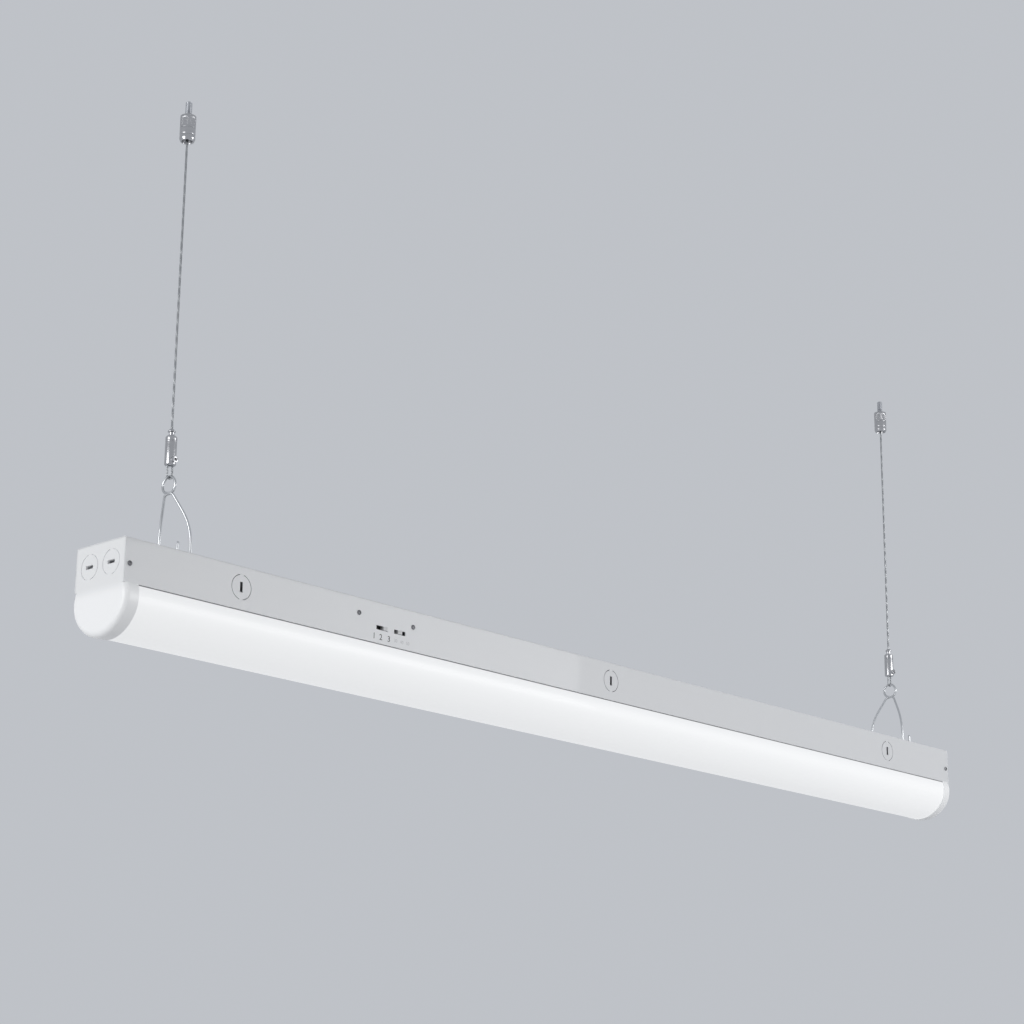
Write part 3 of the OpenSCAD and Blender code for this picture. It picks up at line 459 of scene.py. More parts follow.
def drawn(name, colour, rough, stretch=(1, 1, 1), height=0.01, shade=0.15):
    """Metal, with streaks along the axis whose stretch is the smallest."""
    inputs = {"Colour": (*colour, 1), "Stretch": stretch, "Shade": shade, "Roughness": rough,
              "Roughness spread": 0.12, "Height": height}
    return finish_of(name, DRAWN, inputs, Metallic=1.0)


white_enamel = grained("white_enamel", (0.80, 0.81, 0.83), 0.42, grain=1.1, height=0.03,
                       shade=0.025, dust=0.12, Coat_Weight=0.15)
bright_zinc = drawn("bright_zinc", (0.56, 0.57, 0.59), 0.34)
dark_screw = drawn("dark_screw", (0.24, 0.24, 0.25), 0.38)
hook_wire = drawn("hook_wire", (0.60, 0.61, 0.62), 0.3, (1, 1, 0.12))
nickel = drawn("nickel", (0.52, 0.52, 0.53), 0.2, (0.1, 0.1, 1), height=0.004)
cable_wire = drawn("cable_wire", (0.40, 0.41, 0.42), 0.36, (1, 1, 0.3))
spring_wire = drawn("spring_wire", (0.38, 0.38, 0.4), 0.32)
ball_steel = drawn("ball_steel", (0.6, 0.6, 0.62), 0.12, height=0.002, shade=0.05)
nylon = grained("nylon", (0.83, 0.82, 0.76), 0.45, Subsurface_Weight=0.1)
black_plastic = grained("black_plastic", (0.03, 0.03, 0.033), 0.5, grain=0.3)
knob_plastic = grained("knob_plastic", (0.84, 0.84, 0.85), 0.4, grain=0.25)
terminal_plastic = grained("terminal_plastic", (0.78, 0.3, 0.06), 0.35)
connector_plastic = grained("connector_plastic", (0.84, 0.82, 0.72), 0.4)
tape = grained("tape", (0.72, 0.52, 0.06), 0.32, grain=0.5)
ferrite = grained("ferrite", (0.05, 0.05, 0.055), 0.6, grain=0.4, shade=0.3)
capacitor_sleeve = grained("capacitor_sleeve", (0.02, 0.03, 0.07), 0.25, grain=0.5)
ground_green = drawn("ground_green", (0.12, 0.4, 0.16), 0.35)
ground_insulation = grained("ground_insulation", (0.06, 0.3, 0.08), 0.4)
led_insulation = grained("led_insulation", (0.5, 0.05, 0.03), 0.4)
print_ink = grained("print_ink", (0.055, 0.056, 0.06), 0.55, grain=0.2)
pale_ink = grained("pale_ink", (0.58, 0.59, 0.61), 0.5, grain=0.2)


def make_frosted_lens():
    """Frosted acrylic with a painted glow standing in for the LEDs' light, a little weaker up beside
    the channel, and painted shade inside it: dark and without glow.
    """
    material, nodes = own_finish("frosted_lens")
    height = nodes.part(nodes.place(), "Z")
    # Painted light: the glow fades a little towards the channel's lips.
    depth = nodes.fade(height, LIP_Z * MM, (LIP_Z - 16) * MM, interpolation_type="SMOOTHSTEP")
    grain = grain_node(nodes, (0.42, 0.425, 0.43), Shade=0.01, Grain_size=0.35,
                       Roughness=0.5, Roughness_spread=0.05, Height=0.012)
    glow = nodes.mix(depth, (0.54, 0.545, 0.555, 1), (0.61, 0.615, 0.62, 1))
    # Painted shade in the joint gap: above the lens's edge there is no glow and the base colour is
    # dark.
    edge = TOP - LENS_DEPTH
    below = nodes.fade(height, (edge + 0.1) * MM, (edge - 0.3) * MM)
    glow = nodes.mix(below, (0, 0, 0, 1), glow)
    colour = nodes.mix(below, (0.10, 0.10, 0.105, 1), grain["Colour"])
    close_finish(nodes, grain, Base_Color=colour, Emission_Color=glow, Emission_Strength=1.0,
                 Coat_Weight=0.08)
    return material


def make_cap_plastic():
    """White moulded plastic with a painted glow: faint all over, and stronger on the part beside the
    lens, as if the lens's light passes through it.
    """
    material, nodes = own_finish("cap_plastic")
    # Painted light: the cap glows faintly, and more on its lower part beside the lens.
    below = nodes.fade(nodes.part(nodes.place(), "Z"), (LIP_Z + 3) * MM, (LIP_Z - 9) * MM,
                       interpolation_type="SMOOTHSTEP")
    grain = grain_node(nodes, (0.88, 0.89, 0.90), Shade=0.02, Grain_size=0.5, Roughness=0.34,
                       Roughness_spread=0.06, Height=0.012)
    close_finish(nodes, grain, Emission_Strength=1.0,
                 Emission_Color=nodes.mix(below, (0.04, 0.04, 0.042, 1), (0.15, 0.15, 0.153, 1)))
    return material


def make_board(name, mask, track, pad):
    """A circuit board: copper tracks under the mask as a brick pattern, with grain on top."""
    material, nodes = own_finish(name)
    tracks = nodes.add("ShaderNodeTexBrick", {
        "Vector": nodes.place(), "Color1": (*mask, 1), "Color2": (*track, 1), "Mortar": (*pad, 1),
        "Scale": 60.0, "Mortar Size": 0.012, "Brick Width": 0.9, "Row Height": 0.2})
    grain = grain_node(nodes, tracks.outputs["Color"], Shade=0.08, Grain_size=0.4,
                       Roughness=0.3, Roughness_spread=0.1, Height=0.02)
    close_finish(nodes, grain)
    return material


def make_phosphor():
    """An LED's yellow phosphor window: a faint glow, mottled."""
    material, nodes = own_finish("led_phosphor")
    grain = grain_node(nodes, (0.9, 0.72, 0.22), Shade=0.2, Grain_size=0.3,
                       Roughness=0.3, Roughness_spread=0.1, Height=0.02)
    close_finish(nodes, grain, Emission_Color=(1, 0.93, 0.75, 1), Emission_Strength=0.4)
    return material


def make_supply_insulation():
    """Two supply wires: black in front of the line between them, white behind it."""
    material, nodes = own_finish("supply_insulation")
    behind = nodes.math("GREATER_THAN", nodes.part(nodes.place(), "Y"), -1.5 * MM)
    colour = nodes.mix(behind, (0.02, 0.02, 0.022, 1), (0.8, 0.8, 0.78, 1))
    grain = grain_node(nodes, colour, Shade=0.05, Grain_size=0.4, Roughness=0.42,
                       Roughness_spread=0.06, Height=0.01)
    close_finish(nodes, grain)
    return material


def make_copper_winding():
    """Enamelled copper wire: fine uneven bands, darker and lighter."""
    material, nodes = own_finish("copper_winding")
    bands = nodes.add("ShaderNodeTexWave",
                      {"Vector": nodes.place(), "Scale": 420.0, "Distortion": 1.5})
    colour = nodes.mix(bands.outputs["Fac"], (0.36, 0.12, 0.03, 1), (0.72, 0.32, 0.1, 1))
    grain = grain_node(nodes, colour, Shade=0.1, Grain_size=0.3, Roughness=0.3,
                       Roughness_spread=0.1, Height=0.01)
    close_finish(nodes, grain, Metallic=1.0)
    return material


frosted_lens = make_frosted_lens()
cap_plastic = make_cap_plastic()
board_white = make_board("board_white", (0.8, 0.81, 0.8), (0.74, 0.75, 0.74), (0.6, 0.6, 0.58))
board_green = make_board("board_green", (0.02, 0.14, 0.05), (0.03, 0.19, 0.07), (0.3, 0.22, 0.06))
led_phosphor = make_phosphor()
supply_insulation = make_supply_insulation()
copper_winding = make_copper_winding()

# ---- Cables: six strands laid round a core, hanging straight ----

CABLE_D = 2.0
CABLE_LAY = 13.0  # length of one turn of the strands
STRANDS = 6


def strand_lobes(lay):
    """The outline of round strands side by side, turned once every `lay` along the rope."""
    def reach(angle, along):
        pitch = TAU / STRANDS
        off = np.mod(angle - TAU * along / lay, pitch) - pitch / 2
        centre, own = 2 / 3, 1 / 3
        return centre * np.cos(off) + np.sqrt(np.maximum(own**2 - (centre * np.sin(off)) ** 2, 0))
    return reach


for side, sign in SIDES:
    low, high = low_high(f"cable_{side}")
    height = np.linspace(low[2], high[2], int((high[2] - low[2]) / 0.9))
    path = np.stack([np.full_like(height, sign * HANGER_X), 0 * height, height], axis=1)
    cable = piece(f"cable_strands_{side}",
                  [swept(path, CABLE_D / 2, sides=36, lobes=strand_lobes(CABLE_LAY))],
                  f"cable_{side}", cable_wire, [f"cable_{side}"])

# ---- V-hooks: one round wire each, from tip to tip, crossed under its eye ----

HOOK_WIRE = 2.3
FOOT_SPREAD = 42.0
FOOT_R = 6.8  # half-turn under the sheet
FOOT_AXIS = 3.2  # its centre, above the channel's top
FOOT_SHIFT = 2.4  # and from the cable towards the middle of the light
KNEE_H = 26.0  # where the lines of the upright and of the slant would meet
LEG_BEND_R = 60.0
KNOT_H, KNOT_HALF = 56.0, 4.8  # where the slant ends, beside the crossing
TIP_H = 10.0
EYE_H = 64.0
EYE_R = 7.35
EYE_CROSS = 1.22  # how far the wire stands aside where it crosses itself


def hook_path():
    """Half of the wire lies in front and half behind; the eye is most of a turn between them."""
    down = np.linspace(TIP_H, FOOT_AXIS, 6)[:-1]
    under = np.linspace(np.pi, TAU, 17)
    foot = np.vstack([
        np.stack([np.full_like(down, FOOT_SHIFT - FOOT_R), 0 * down, down], axis=1),
        np.stack([FOOT_SHIFT + FOOT_R * np.cos(under), 0 * under,
                  FOOT_AXIS + FOOT_R * np.sin(under)], axis=1),
    ])
    leg_x, leg_y = FOOT_SHIFT + FOOT_R, FOOT_SPREAD / 2

    def leg(sign):
        """The foot, the upright, the wide bend, the slant and the crossing, on one side."""
        knee = np.array([leg_x, sign * leg_y, KNEE_H])
        knot = np.array([0, sign * KNOT_HALF, KNOT_H])
        slant = (knot - knee) / np.linalg.norm(knot - knee)
        reach = LEG_BEND_R * np.tan(np.arccos(slant[2]) / 2)
        low, high = knee - [0, 0, reach], knee + reach * slant
        t = np.linspace(0, 1, 25)[:, None]
        bend = (1 - t) ** 2 * low + 2 * t * (1 - t) * knee + t**2 * high
        across = rounded([knot - 3 * slant, knot, [sign * EYE_CROSS, 0, KNOT_H + 0.55]])[:-1]
        return np.vstack([foot + [0, sign * leg_y, 0], bend, across])

    turn = np.radians(np.linspace(256, -76, 65))  # over the top, from one side to the other
    share = np.linspace(1, -1, len(turn))
    eye = np.stack([share * EYE_CROSS, EYE_R * np.cos(turn), EYE_H + EYE_R * np.sin(turn)], axis=1)
    return np.vstack([leg(1), eye, leg(-1)[::-1]])


def smooth_line(path, step):
    """Even points along a line, then each moved twice to the middle of its neighbours."""
    path = np.array(path, float)
    along = lengths(path)
    even = np.linspace(0, along[-1], int(along[-1] / step))
    line = np.stack([np.interp(even, along, path[:, n]) for n in range(3)], axis=1)
    for _ in range(2):
        line[1:-1] = (line[:-2] + 2 * line[1:-1] + line[2:]) / 4
    return line


for side, sign in SIDES:
    line = smooth_line(hook_path(), 0.9)
    line[:, :2] *= -sign  # the right hook is turned half round
    ends = np.ones(len(line))
    ends[[0, -1]] = 0.72  # the cut ends are chamfered
    hook = swept(line + [sign * HANGER_X, 0, TOP], HOOK_WIRE / 2 * ends, sides=18)
    piece(f"v_hook_wire_{side}", [hook], "light", hook_wire,
          [f"v_hook_{side}"])

# ---- Outlines ----


def eased(profile, cut, closed=True):
    """Rounds each corner of an outline over `cut` on both sides, as a quadratic curve."""
    profile = np.array(profile, float)

    def toward(other):
        run = other - profile
        length = np.maximum(np.linalg.norm(run, axis=1), 1e-9)[:, None]
        return profile + run * np.minimum(cut / length, 0.45)

    start, end = toward(np.roll(profile, 1, axis=0)), toward(np.roll(profile, -1, axis=0))
    if not closed:
        start[[0, -1]] = end[[0, -1]] = profile[[0, -1]]
    t = np.linspace(0, 1, 4)[None, :, None]
    curve = (1 - t) ** 2 * start[:, None] + 2 * t * (1 - t) * profile[:, None] + t**2 * end[:, None]
    curve = curve.reshape(-1, 2)
    return curve if closed else curve[3:-3]


def box_outline(half_w, half_h, cut):
    """A rectangle round the origin with rounded corners."""
    corners = [[half_w, -half_h], [half_w, half_h], [-half_w, half_h], [-half_w, -half_h]]
    return eased(corners, cut)


# ---- Lens: a frosted half-oval that hooks over the channel's lips ----

CAP_HALF_W, SIDE_R, WIDE_DEPTH = 34.8, 27.0, 47.5
SLEEVE = 0.9  # from the end caps' outline in to the lens's
LENS_T = 1.6
LEG_OUT, LEG_T = HALF_W - 5.35, 1.2  # the legs' outer faces inside the channel's lips
BARB_DEPTH, BARB_REACH, BARB_H = CHANNEL_H - 1.0, 2.0, 2.2


def half_outline(grow, depth):
    """The end caps' outline as (Y, Z) points, from the middle of the bottom up to a depth.

    The flatter bottom arc and the side arc of radius SIDE_R share the line through their
    centres, so they meet without a kink. grow moves the outline outwards.
    """
    off, drop = CAP_HALF_W - SIDE_R, LIGHT_H - WIDE_DEPTH - SIDE_R
    rise = (off**2 - drop**2) / (2 * drop)
    join = np.arctan2(-rise, off)
    side_r = SIDE_R + grow
    low_r = side_r + np.hypot(off, rise)
    steps = 28
    low = np.linspace(-np.pi / 2, join, steps, endpoint=False)
    high = np.linspace(join, np.arcsin((WIDE_DEPTH - depth) / side_r), steps)
    return np.vstack([
        np.stack([low_r * np.cos(low), rise - WIDE_DEPTH + low_r * np.sin(low)], axis=1),
        np.stack([off + side_r * np.cos(high), side_r * np.sin(high) - WIDE_DEPTH], axis=1),
    ])


def lens_section():
    """The wall's section, once round: outside, snap leg and inside of one half, then the other."""
    inside = LENS_DEPTH + LENS_T
    leg_in, mouth = LEG_OUT - LEG_T, LEG_OUT - LEG_T - 0.4
    right = np.vstack([
        half_outline(-SLEEVE, LENS_DEPTH),
        [[LEG_OUT, -LENS_DEPTH], [LEG_OUT, -BARB_DEPTH], [LEG_OUT + BARB_REACH, -BARB_DEPTH],
         [LEG_OUT, BARB_H - BARB_DEPTH], [leg_in, BARB_H - BARB_DEPTH],
         [leg_in, -LENS_DEPTH], [mouth, -LENS_DEPTH], [mouth, -inside]],
        half_outline(-SLEEVE - LENS_T, inside)[::-1],
    ])
    return np.vstack([right, right[::-1][1:-1] * [-1, 1]])


piece("lens_sheet", [extruded(lens_section(), [-LENS_END, LENS_END], (0, 0, TOP))], "light",
      frosted_lens, ["lens"], smooth=np.radians(40))

# ---- Cable grippers ----

GRIP_LOW, GRIP_TOP = (corner[2] for corner in low_high("gripper_barrel_left"))
GRIP_R = 5.0
PLUG_TOP = GRIP_LOW + 5.5
PLUG_R = 4.05
CONE_TOP = GRIP_TOP - 3
CONE_LOW = CONE_TOP - 8
BOSS_Z = GRIP_LOW + 4.5
NOSE_LOW, NOSE_TOP = (corner[2] for corner in low_high("release_plunger_left"))
RIM_Z = GRIP_TOP + 3
COIL_R, COIL_WIRE_R, COIL_TURNS = 2.3, 0.3, 5
ROPE_R, ROPE_LAY, ROPE_BEND = 0.8, 9, 2.6


def barrel_skins(x):
    """The barrel, hollow for plug and jaws, with two turned grooves, and the boss on its front."""
    grooves = [
        point for groove in (GRIP_TOP - 5.6, GRIP_TOP - 4.2)
        for point in ([GRIP_R, groove - 0.35], [GRIP_R - 0.3, groove - 0.2],
                      [GRIP_R - 0.3, groove + 0.2], [GRIP_R, groove + 0.35])
    ]
    tube = eased([
        [PLUG_R, GRIP_LOW], [GRIP_R - 0.5, GRIP_LOW], [GRIP_R, GRIP_LOW + 0.6], *grooves,
        [GRIP_R, GRIP_TOP - 1.4], [GRIP_R - 1.2, GRIP_TOP], [2.5, GRIP_TOP], [2.5, CONE_TOP],
        [2.95, CONE_TOP], [3.6, CONE_LOW], [3.6, PLUG_TOP + 0.05], [PLUG_R, PLUG_TOP + 0.05],
    ], 0.12)
    boss = eased([[1.3, 3.9], [2.75, 3.9], [2.75, 7], [1.3, 7]], 0.3)
    return [turned(tube, (x, 0, 0), steps=72, ring=True),
            turned(boss, (x, 0, BOSS_Z), steps=40, along=(0, -1, 0), ring=True)]


def plunger_skin(x):
    """The release plunger: ball cage, stem and the finger rim with its tapered nose."""
    cage_top = CONE_TOP - 0.3
    return turned(eased([
        [1.2, NOSE_LOW], [2.75, NOSE_LOW], [2.75, cage_top], [2.35, cage_top], [2.35, RIM_Z],
        [3.4, RIM_Z + 0.4], [3.4, RIM_Z + 1.2], [1.8, NOSE_TOP], [1.2, NOSE_TOP],
    ], 0.15), (x, 0, 0), steps=56, ring=True)


def spring_path(x):
    """The helix of the release spring, rising evenly between its two ends."""
    low, high = low_high("release_spring_left")
    turn = np.linspace(0, COIL_TURNS * TAU, 160)
    rise = np.linspace(low[2] + COIL_WIRE_R, high[2] - COIL_WIRE_R, len(turn))
    return np.stack([x + COIL_R * np.cos(turn), COIL_R * np.sin(turn), rise], axis=1)


def loop_path(x):
    """A U of wire rope: down into the eye, half round under it, and up again."""
    low, high = low_high("cable_loop_left")
    bottom = low[2] + ROPE_BEND + ROPE_R
    turn = np.linspace(np.pi, TAU, 24)
    arc = np.stack([x + ROPE_BEND * np.cos(turn), 0 * turn, bottom + ROPE_BEND * np.sin(turn)],
                   axis=1)
    up = np.linspace(bottom, high[2], 14)[1:]
    leg = np.stack([np.full_like(up, x), 0 * up, up], axis=1)
    return np.vstack([leg[::-1] - [ROPE_BEND, 0, 0], arc, leg + [ROPE_BEND, 0, 0]])


for side, sign in SIDES:
    x = sign * HANGER_X
    piece(f"gripper_tube_{side}", barrel_skins(x), f"hanger_{side}", nickel,
          [f"gripper_barrel_{side}"])
    piece(f"plunger_nose_{side}", [plunger_skin(x)], f"plunger_{side}", nickel,
          [f"release_plunger_{side}"])
    path = spring_path(x)
    coil = piece(f"release_coil_{side}", [swept(path, COIL_WIRE_R, sides=10)], None, spring_wire,
                 [f"release_spring_{side}"])
    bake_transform(coil)
    rope = swept(smooth_line(loop_path(x), 0.45), ROPE_R, sides=30, lobes=strand_lobes(ROPE_LAY))
    piece(f"loop_rope_{side}", [rope], f"hanger_{side}", cable_wire,
          [f"cable_loop_{side}"])

# ---- Ceiling couplers and studs ----

COUPLER_R = 7.0
BALL_Z = -14.0
SPLIT_Z = -12.0
SEAT_R = 5.1
COUPLER_LOW = low_high("coupler_cap_left")[0][2]
STUD_LOW, STUD_TOP = (corner[2] for corner in low_high("ceiling_stud_left"))


def knurl(angle, radius, height):
    """Crossed slanting grooves in the band of a coupler's outside, faded out at its edges."""
    teeth, lead, depth = 44, 2.2, 0.22
    low, high, fade = -10.6, -2.4, 0.4
    wave = [np.abs(np.mod(teeth * angle / TAU + sign * height / lead, 1) - 0.5) * 2
            for sign in (-1, 1)]
    band = np.clip(np.minimum(high - height, height - low) / fade, 0, 1)
    outside = radius > COUPLER_R - 0.05
    return radius - depth * (1 - np.minimum(*wave)) * band * outside, height


def thread(angle, radius, height):
    """A 1 mm screw thread in the stud's outside."""
    depth, core = 0.5, 2.2
    phase = np.mod(height - angle / TAU, 1)
    return np.where(radius > core, radius - depth * np.abs(2 * phase - 1), radius), height


def coupler_top_skin(x):
    """The upper half: threaded bore with a bevelled mouth, knurled outside, spigot and chamber."""
    band = np.linspace(-2.2, -10.8, 44)
    outline = np.vstack([
        eased([[0.5, -7.05], [2.55, -7.05], [2.55, -0.6], [3.3, 0], [COUPLER_R, 0],
               [COUPLER_R, -2]], 0.35, closed=False),
        at_radius(COUPLER_R, band),
        eased([[COUPLER_R, -11], [COUPLER_R, SPLIT_Z], [6.2, SPLIT_Z], [6.2, SPLIT_Z - 3],
               [5.4, SPLIT_Z - 3], [5.4, -8.4], [0.5, -8.4]], 0.3, closed=False),
    ])
    return turned(outline, (x, 0, 0), steps=264, wobble=knurl)


def coupler_low_skin(x):
    """The lower half: a round socket for the swivel seat, and a wide mouth for the cable."""
    socket = np.linspace(-1.25, -3.95, 12)
    ball = np.stack([np.sqrt(SEAT_R**2 - socket**2), BALL_Z + socket], axis=1)
    return turned(np.vstack([
        eased([[4.9, COUPLER_LOW], [6.1, COUPLER_LOW], [COUPLER_R, COUPLER_LOW + 2.2],
               [COUPLER_R, COUPLER_LOW + 5], [COUPLER_R - 0.35, COUPLER_LOW + 5.3],
               [COUPLER_R - 0.35, COUPLER_LOW + 6], [COUPLER_R, COUPLER_LOW + 6.3],
               [COUPLER_R, SPLIT_Z - 0.05], [6.25, SPLIT_Z - 0.05], [6.25, SPLIT_Z - 3.05]],
              0.25, closed=False), ball,
    ]), (x, 0, 0), steps=96, ring=True)


def stud_skin(x):
    """A threaded stud, thinner in the coupler than above it, with a bevelled upper end."""
    low, high = np.arange(STUD_LOW, -0.1, 0.125), np.arange(0.1, STUD_TOP - 0.9, 0.125)
    outline = np.vstack([
        [[0.5, STUD_LOW]], at_radius(2.5, low), at_radius(3, high),
        [[2.15, STUD_TOP - 0.4], [1.8, STUD_TOP], [0.5, STUD_TOP]],
    ])
    return turned(outline, (x, 0, 0), steps=48, wobble=thread)


for side, sign in SIDES:
    x = sign * HANGER_X
    piece(f"coupler_top_{side}", [coupler_top_skin(x)], "ceiling", nickel,
          [f"coupler_body_{side}"])
    piece(f"coupler_low_{side}", [coupler_low_skin(x)], "ceiling", nickel,
          [f"coupler_cap_{side}"])
    piece(f"stud_thread_{side}", [stud_skin(x)], "ceiling", bright_zinc,
          [f"ceiling_stud_{side}"])

# ---- Screws, with threads and recesses ----


def screw_skin(at, along, head_r, shank_r, length):
    """A pan-head screw: threaded shank, domed head and cross recess; `at` lies under its head."""
    pitch, thread_depth = 0.7, 0.28
    arm_half, arm_reach, arm_depth = 0.17 * head_r, 0.62 * head_r, 0.7

    def shape(angle, radius, height):
        phase = np.mod(height / pitch - angle / TAU, 1)
        cut = thread_depth * np.abs(2 * phase - 1) * (height < -0.1) * (radius > 0.5)
        across = radius * np.minimum(np.abs(np.cos(angle)), np.abs(np.sin(angle)))
        arm = np.clip((arm_half - across) / 0.12, 0, 1)
        arm = arm * np.clip((arm_reach - radius) / 0.15, 0, 1)
        return radius - cut, height - arm_depth * arm * (height > 0.5)

    shank = np.arange(0.5 - length, -0.05, pitch / 7)
    dome = np.linspace(0, 1.55, 15)
    outline = np.vstack([
        [[0.3, -length]], at_radius(shank_r, shank),
        [[shank_r, 0.06], [head_r - 0.12, 0.06], [head_r, 0.18]],
        np.stack([head_r * np.cos(dome), 0.45 + 0.85 * np.sin(dome)], axis=1),
    ])
    return turned(outline, at, steps=48, along=along, wobble=shape)


def lock_screw_skin(x):
    """A gripper's lock screw: a short thread with a hexagonal socket in its outer end."""
    low, high = 1.2, 6.8  # along -Y from the gripper's axis
    pitch, thread_depth = 0.45, 0.2
    socket_half, socket_depth = 0.72, 1.3

    def shape(angle, radius, height):
        phase = np.mod(height / pitch - angle / TAU, 1)
        inside = (height > low + 0.2) & (height < high - 0.3) & (radius > 1.1)
        flat = radius * np.cos(np.mod(angle, TAU / 6) - TAU / 12)
        socket = np.clip((socket_half - flat) / 0.06, 0, 1) * (height > high - 0.1)
        cut = thread_depth * np.abs(2 * phase - 1) * inside
        return radius - cut, height - socket_depth * socket

    rows = np.arange(low + 0.25, high - 0.3, 0.07)
    face = np.linspace(1.1, 0.1, 16)
    outline = np.vstack([
        [[0.2, low], [0.9, low]], at_radius(1.25, rows), [[1.2, high - 0.15]],
        at_height(face, high),
    ])
    return turned(outline, (x, 0, BOSS_Z), steps=48, along=(0, -1, 0), wobble=shape)


CAP_SCREW_X = HALF_LEN - 5
CAP_SCREW_Z = TOP - 22
piece("end_cap_fixings",
      [screw_skin((end * CAP_SCREW_X, wall * HALF_W, CAP_SCREW_Z), (0, wall, 0), 2.2, 1.15, 5)
       for end in (-1, 1) for wall in (-1, 1)], "light", dark_screw, ["end_cap_screws"])

DRIVER_LOW_X, DRIVER_HIGH_X = (corner[0] for corner in low_high("driver_case"))
DRIVER_SCREWS = ((6, 14.4), (73, 15.4))  # along the driver, and below the channel's top
piece("driver_fixings",
      [screw_skin((DRIVER_LOW_X + along, -HALF_W, TOP - depth), (0, -1, 0), 2.2, 1.15, 6)
       for along, depth in DRIVER_SCREWS], "light", dark_screw,
      ["driver_screws"])

BRACKET_LEN = 20
BRACKETS = (36 - HALF_LEN, 40, HALF_LEN - 36 - BRACKET_LEN)  # their left edges
TRAY_SCREW_Y, TRAY_DEPTH = 17, 33.8
piece("tray_fixings",
      [screw_skin((x + BRACKET_LEN / 2, y, TOP - TRAY_DEPTH), (0, 0, -1), 3.4, 1.7, 6)
       for x in BRACKETS for y in (-TRAY_SCREW_Y, TRAY_SCREW_Y)], "light", bright_zinc,
      ["tray_screws"])

for side, sign in SIDES:
    piece(f"lock_thread_{side}", [lock_screw_skin(sign * HANGER_X)], f"hanger_{side}", dark_screw,
          [f"lock_screw_{side}"])

# ---- Rounded blocks ----


def pillow(outline, half, ease):
    """An outline of (Y, Z) points carried along X from -half to half, with eased ends."""
    outline = np.array(outline, float)
    middle = (outline.min(0) + outline.max(0)) / 2
    reach = (outline.max(0) - outline.min(0)) / 2
    turn = np.linspace(0, np.pi / 2, 4)
    place = half - ease + ease * np.sin(turn)
    shrink = ease * (1 - np.cos(turn))
    rows = np.concatenate([-place[::-1], place])
    inset = np.concatenate([shrink[::-1], shrink])[:, None, None]
    grid = np.empty((len(rows), len(outline), 3))
    grid[..., 0] = rows[:, None]
    grid[..., 1:] = middle + (outline - middle) * (1 - inset / reach)
    return shell(grid, ends="flat")


def block(low, high, cut=0.4):
    """A box between two corners, with all its edges rounded."""
    low, high = np.array(low, float), np.array(high, float)
    half = (high - low) / 2
    points, faces = pillow(box_outline(half[1], half[2], cut), half[0], cut)
    return points + (low + high) / 2, faces


def laid(skin, x, y, z, at):
    """A skin whose own axes are laid along three directions, moved to a place."""
    points, faces = skin
    return outward(points @ np.array([x, y, z], float) + np.array(at, float), faces)


# ---- Selector knobs: moulded, with three finger grooves ----


def knob_skin(node):
    """Its outline in X and -Y, with the grooves, is carried up from its lower to its upper side."""
    low, high = low_high(node)
    half = (high - low) / 2
    grooves = [point for x in (-1.2, 0, 1.2)
               for point in ([x - 0.25, half[1]], [x - 0.15, half[1] - 0.3],
                             [x + 0.15, half[1] - 0.3], [x + 0.25, half[1]])]
    outline = eased([[half[0], -half[1]], [half[0], half[1] - 0.25], [half[0] - 0.3, half[1]],
                     *grooves[::-1], [0.3 - half[0], half[1]], [-half[0], half[1] - 0.25],
                     [-half[0], -half[1]]], 0.12)
    return laid(pillow(outline, half[2], 0.3), (0, 0, 1), (1, 0, 0), (0, -1, 0), (low + high) / 2)


piece("power_slider", [knob_skin("power_knob")], "power_selector", knob_plastic,
      ["power_knob"])
piece("colour_slider", [knob_skin("colour_knob")], "colour_selector", knob_plastic,
      ["colour_knob"])

# ---- Printed marks: plain numbers for the selectors' positions ----

MARK_Z = TOP - 31.6
KNOB_TRAVEL = 4  # either way; the power knob rests at the right end of its window
POWER_X = np.mean([corner[0] for corner in low_high("power_knob")]) - KNOB_TRAVEL
INK_T = 0.02


def printed(name, text, x, size, material):
    """A number in ink on the channel's front, as a thin mesh, in the middle of its place."""
    data = bpy.data.curves.new(name, "FONT")
    data.body = text
    data.size = size
    data.extrude = INK_T
    data.resolution_u = 3
    helper = bpy.data.objects.new(name + "_text", data)
    bpy.context.scene.collection.objects.link(helper)
    bpy.context.view_layer.update()
    mesh = bpy.data.meshes.new_from_object(
        helper.evaluated_get(bpy.context.evaluated_depsgraph_get()))
    bpy.data.objects.remove(helper)
    joined = bmesh.new()
    joined.from_mesh(mesh)
    bmesh.ops.remove_doubles(joined, verts=joined.verts, dist=0.0005)
    joined.to_mesh(mesh)
    joined.free()
    points = np.empty(len(mesh.vertices) * 3)
    mesh.vertices.foreach_get("co", points)
    points = points.reshape(-1, 3)
    points[:, :2] -= (points[:, :2].min(0) + points[:, :2].max(0)) / 2
    faces = [list(polygon.vertices) for polygon in mesh.polygons]
    bpy.data.meshes.remove(mesh)
    skin = points @ np.array([(1, 0, 0), (0, 0, 1), (0, -1, 0)], float)
    skin += [x, -HALF_W - INK_T, MARK_Z]
    return piece(name, [(skin, faces)], "light", material)


for text, along in (("1", -9.6), ("2", -1.3), ("3", 8.6)):
    printed(f"power_mark_{text}", text, POWER_X + along, 7.6, print_ink)
for text, along in (("30", 17.2), ("40", 24.7), ("50", 32.2)):
    printed(f"colour_mark_{text}", text, POWER_X + along, 4.2, pale_ink)

# ---- LEDs: white packages with a domed phosphor window ----


def led_rows(radius_x, radius_y, levels):
    """Eight points round a rectangle with cut corners, at each (inset, level) below the board."""
    shape = np.array([[1, -0.62], [1, 0.62], [0.7, 1], [-0.7, 1], [-1, 0.62], [-1, -0.62],
                      [-0.7, -1], [0.7, -1]])
    return np.array([[[x * (radius_x - inset), y * (radius_y - inset), -level] for x, y in shape]
                     for inset, level in levels])


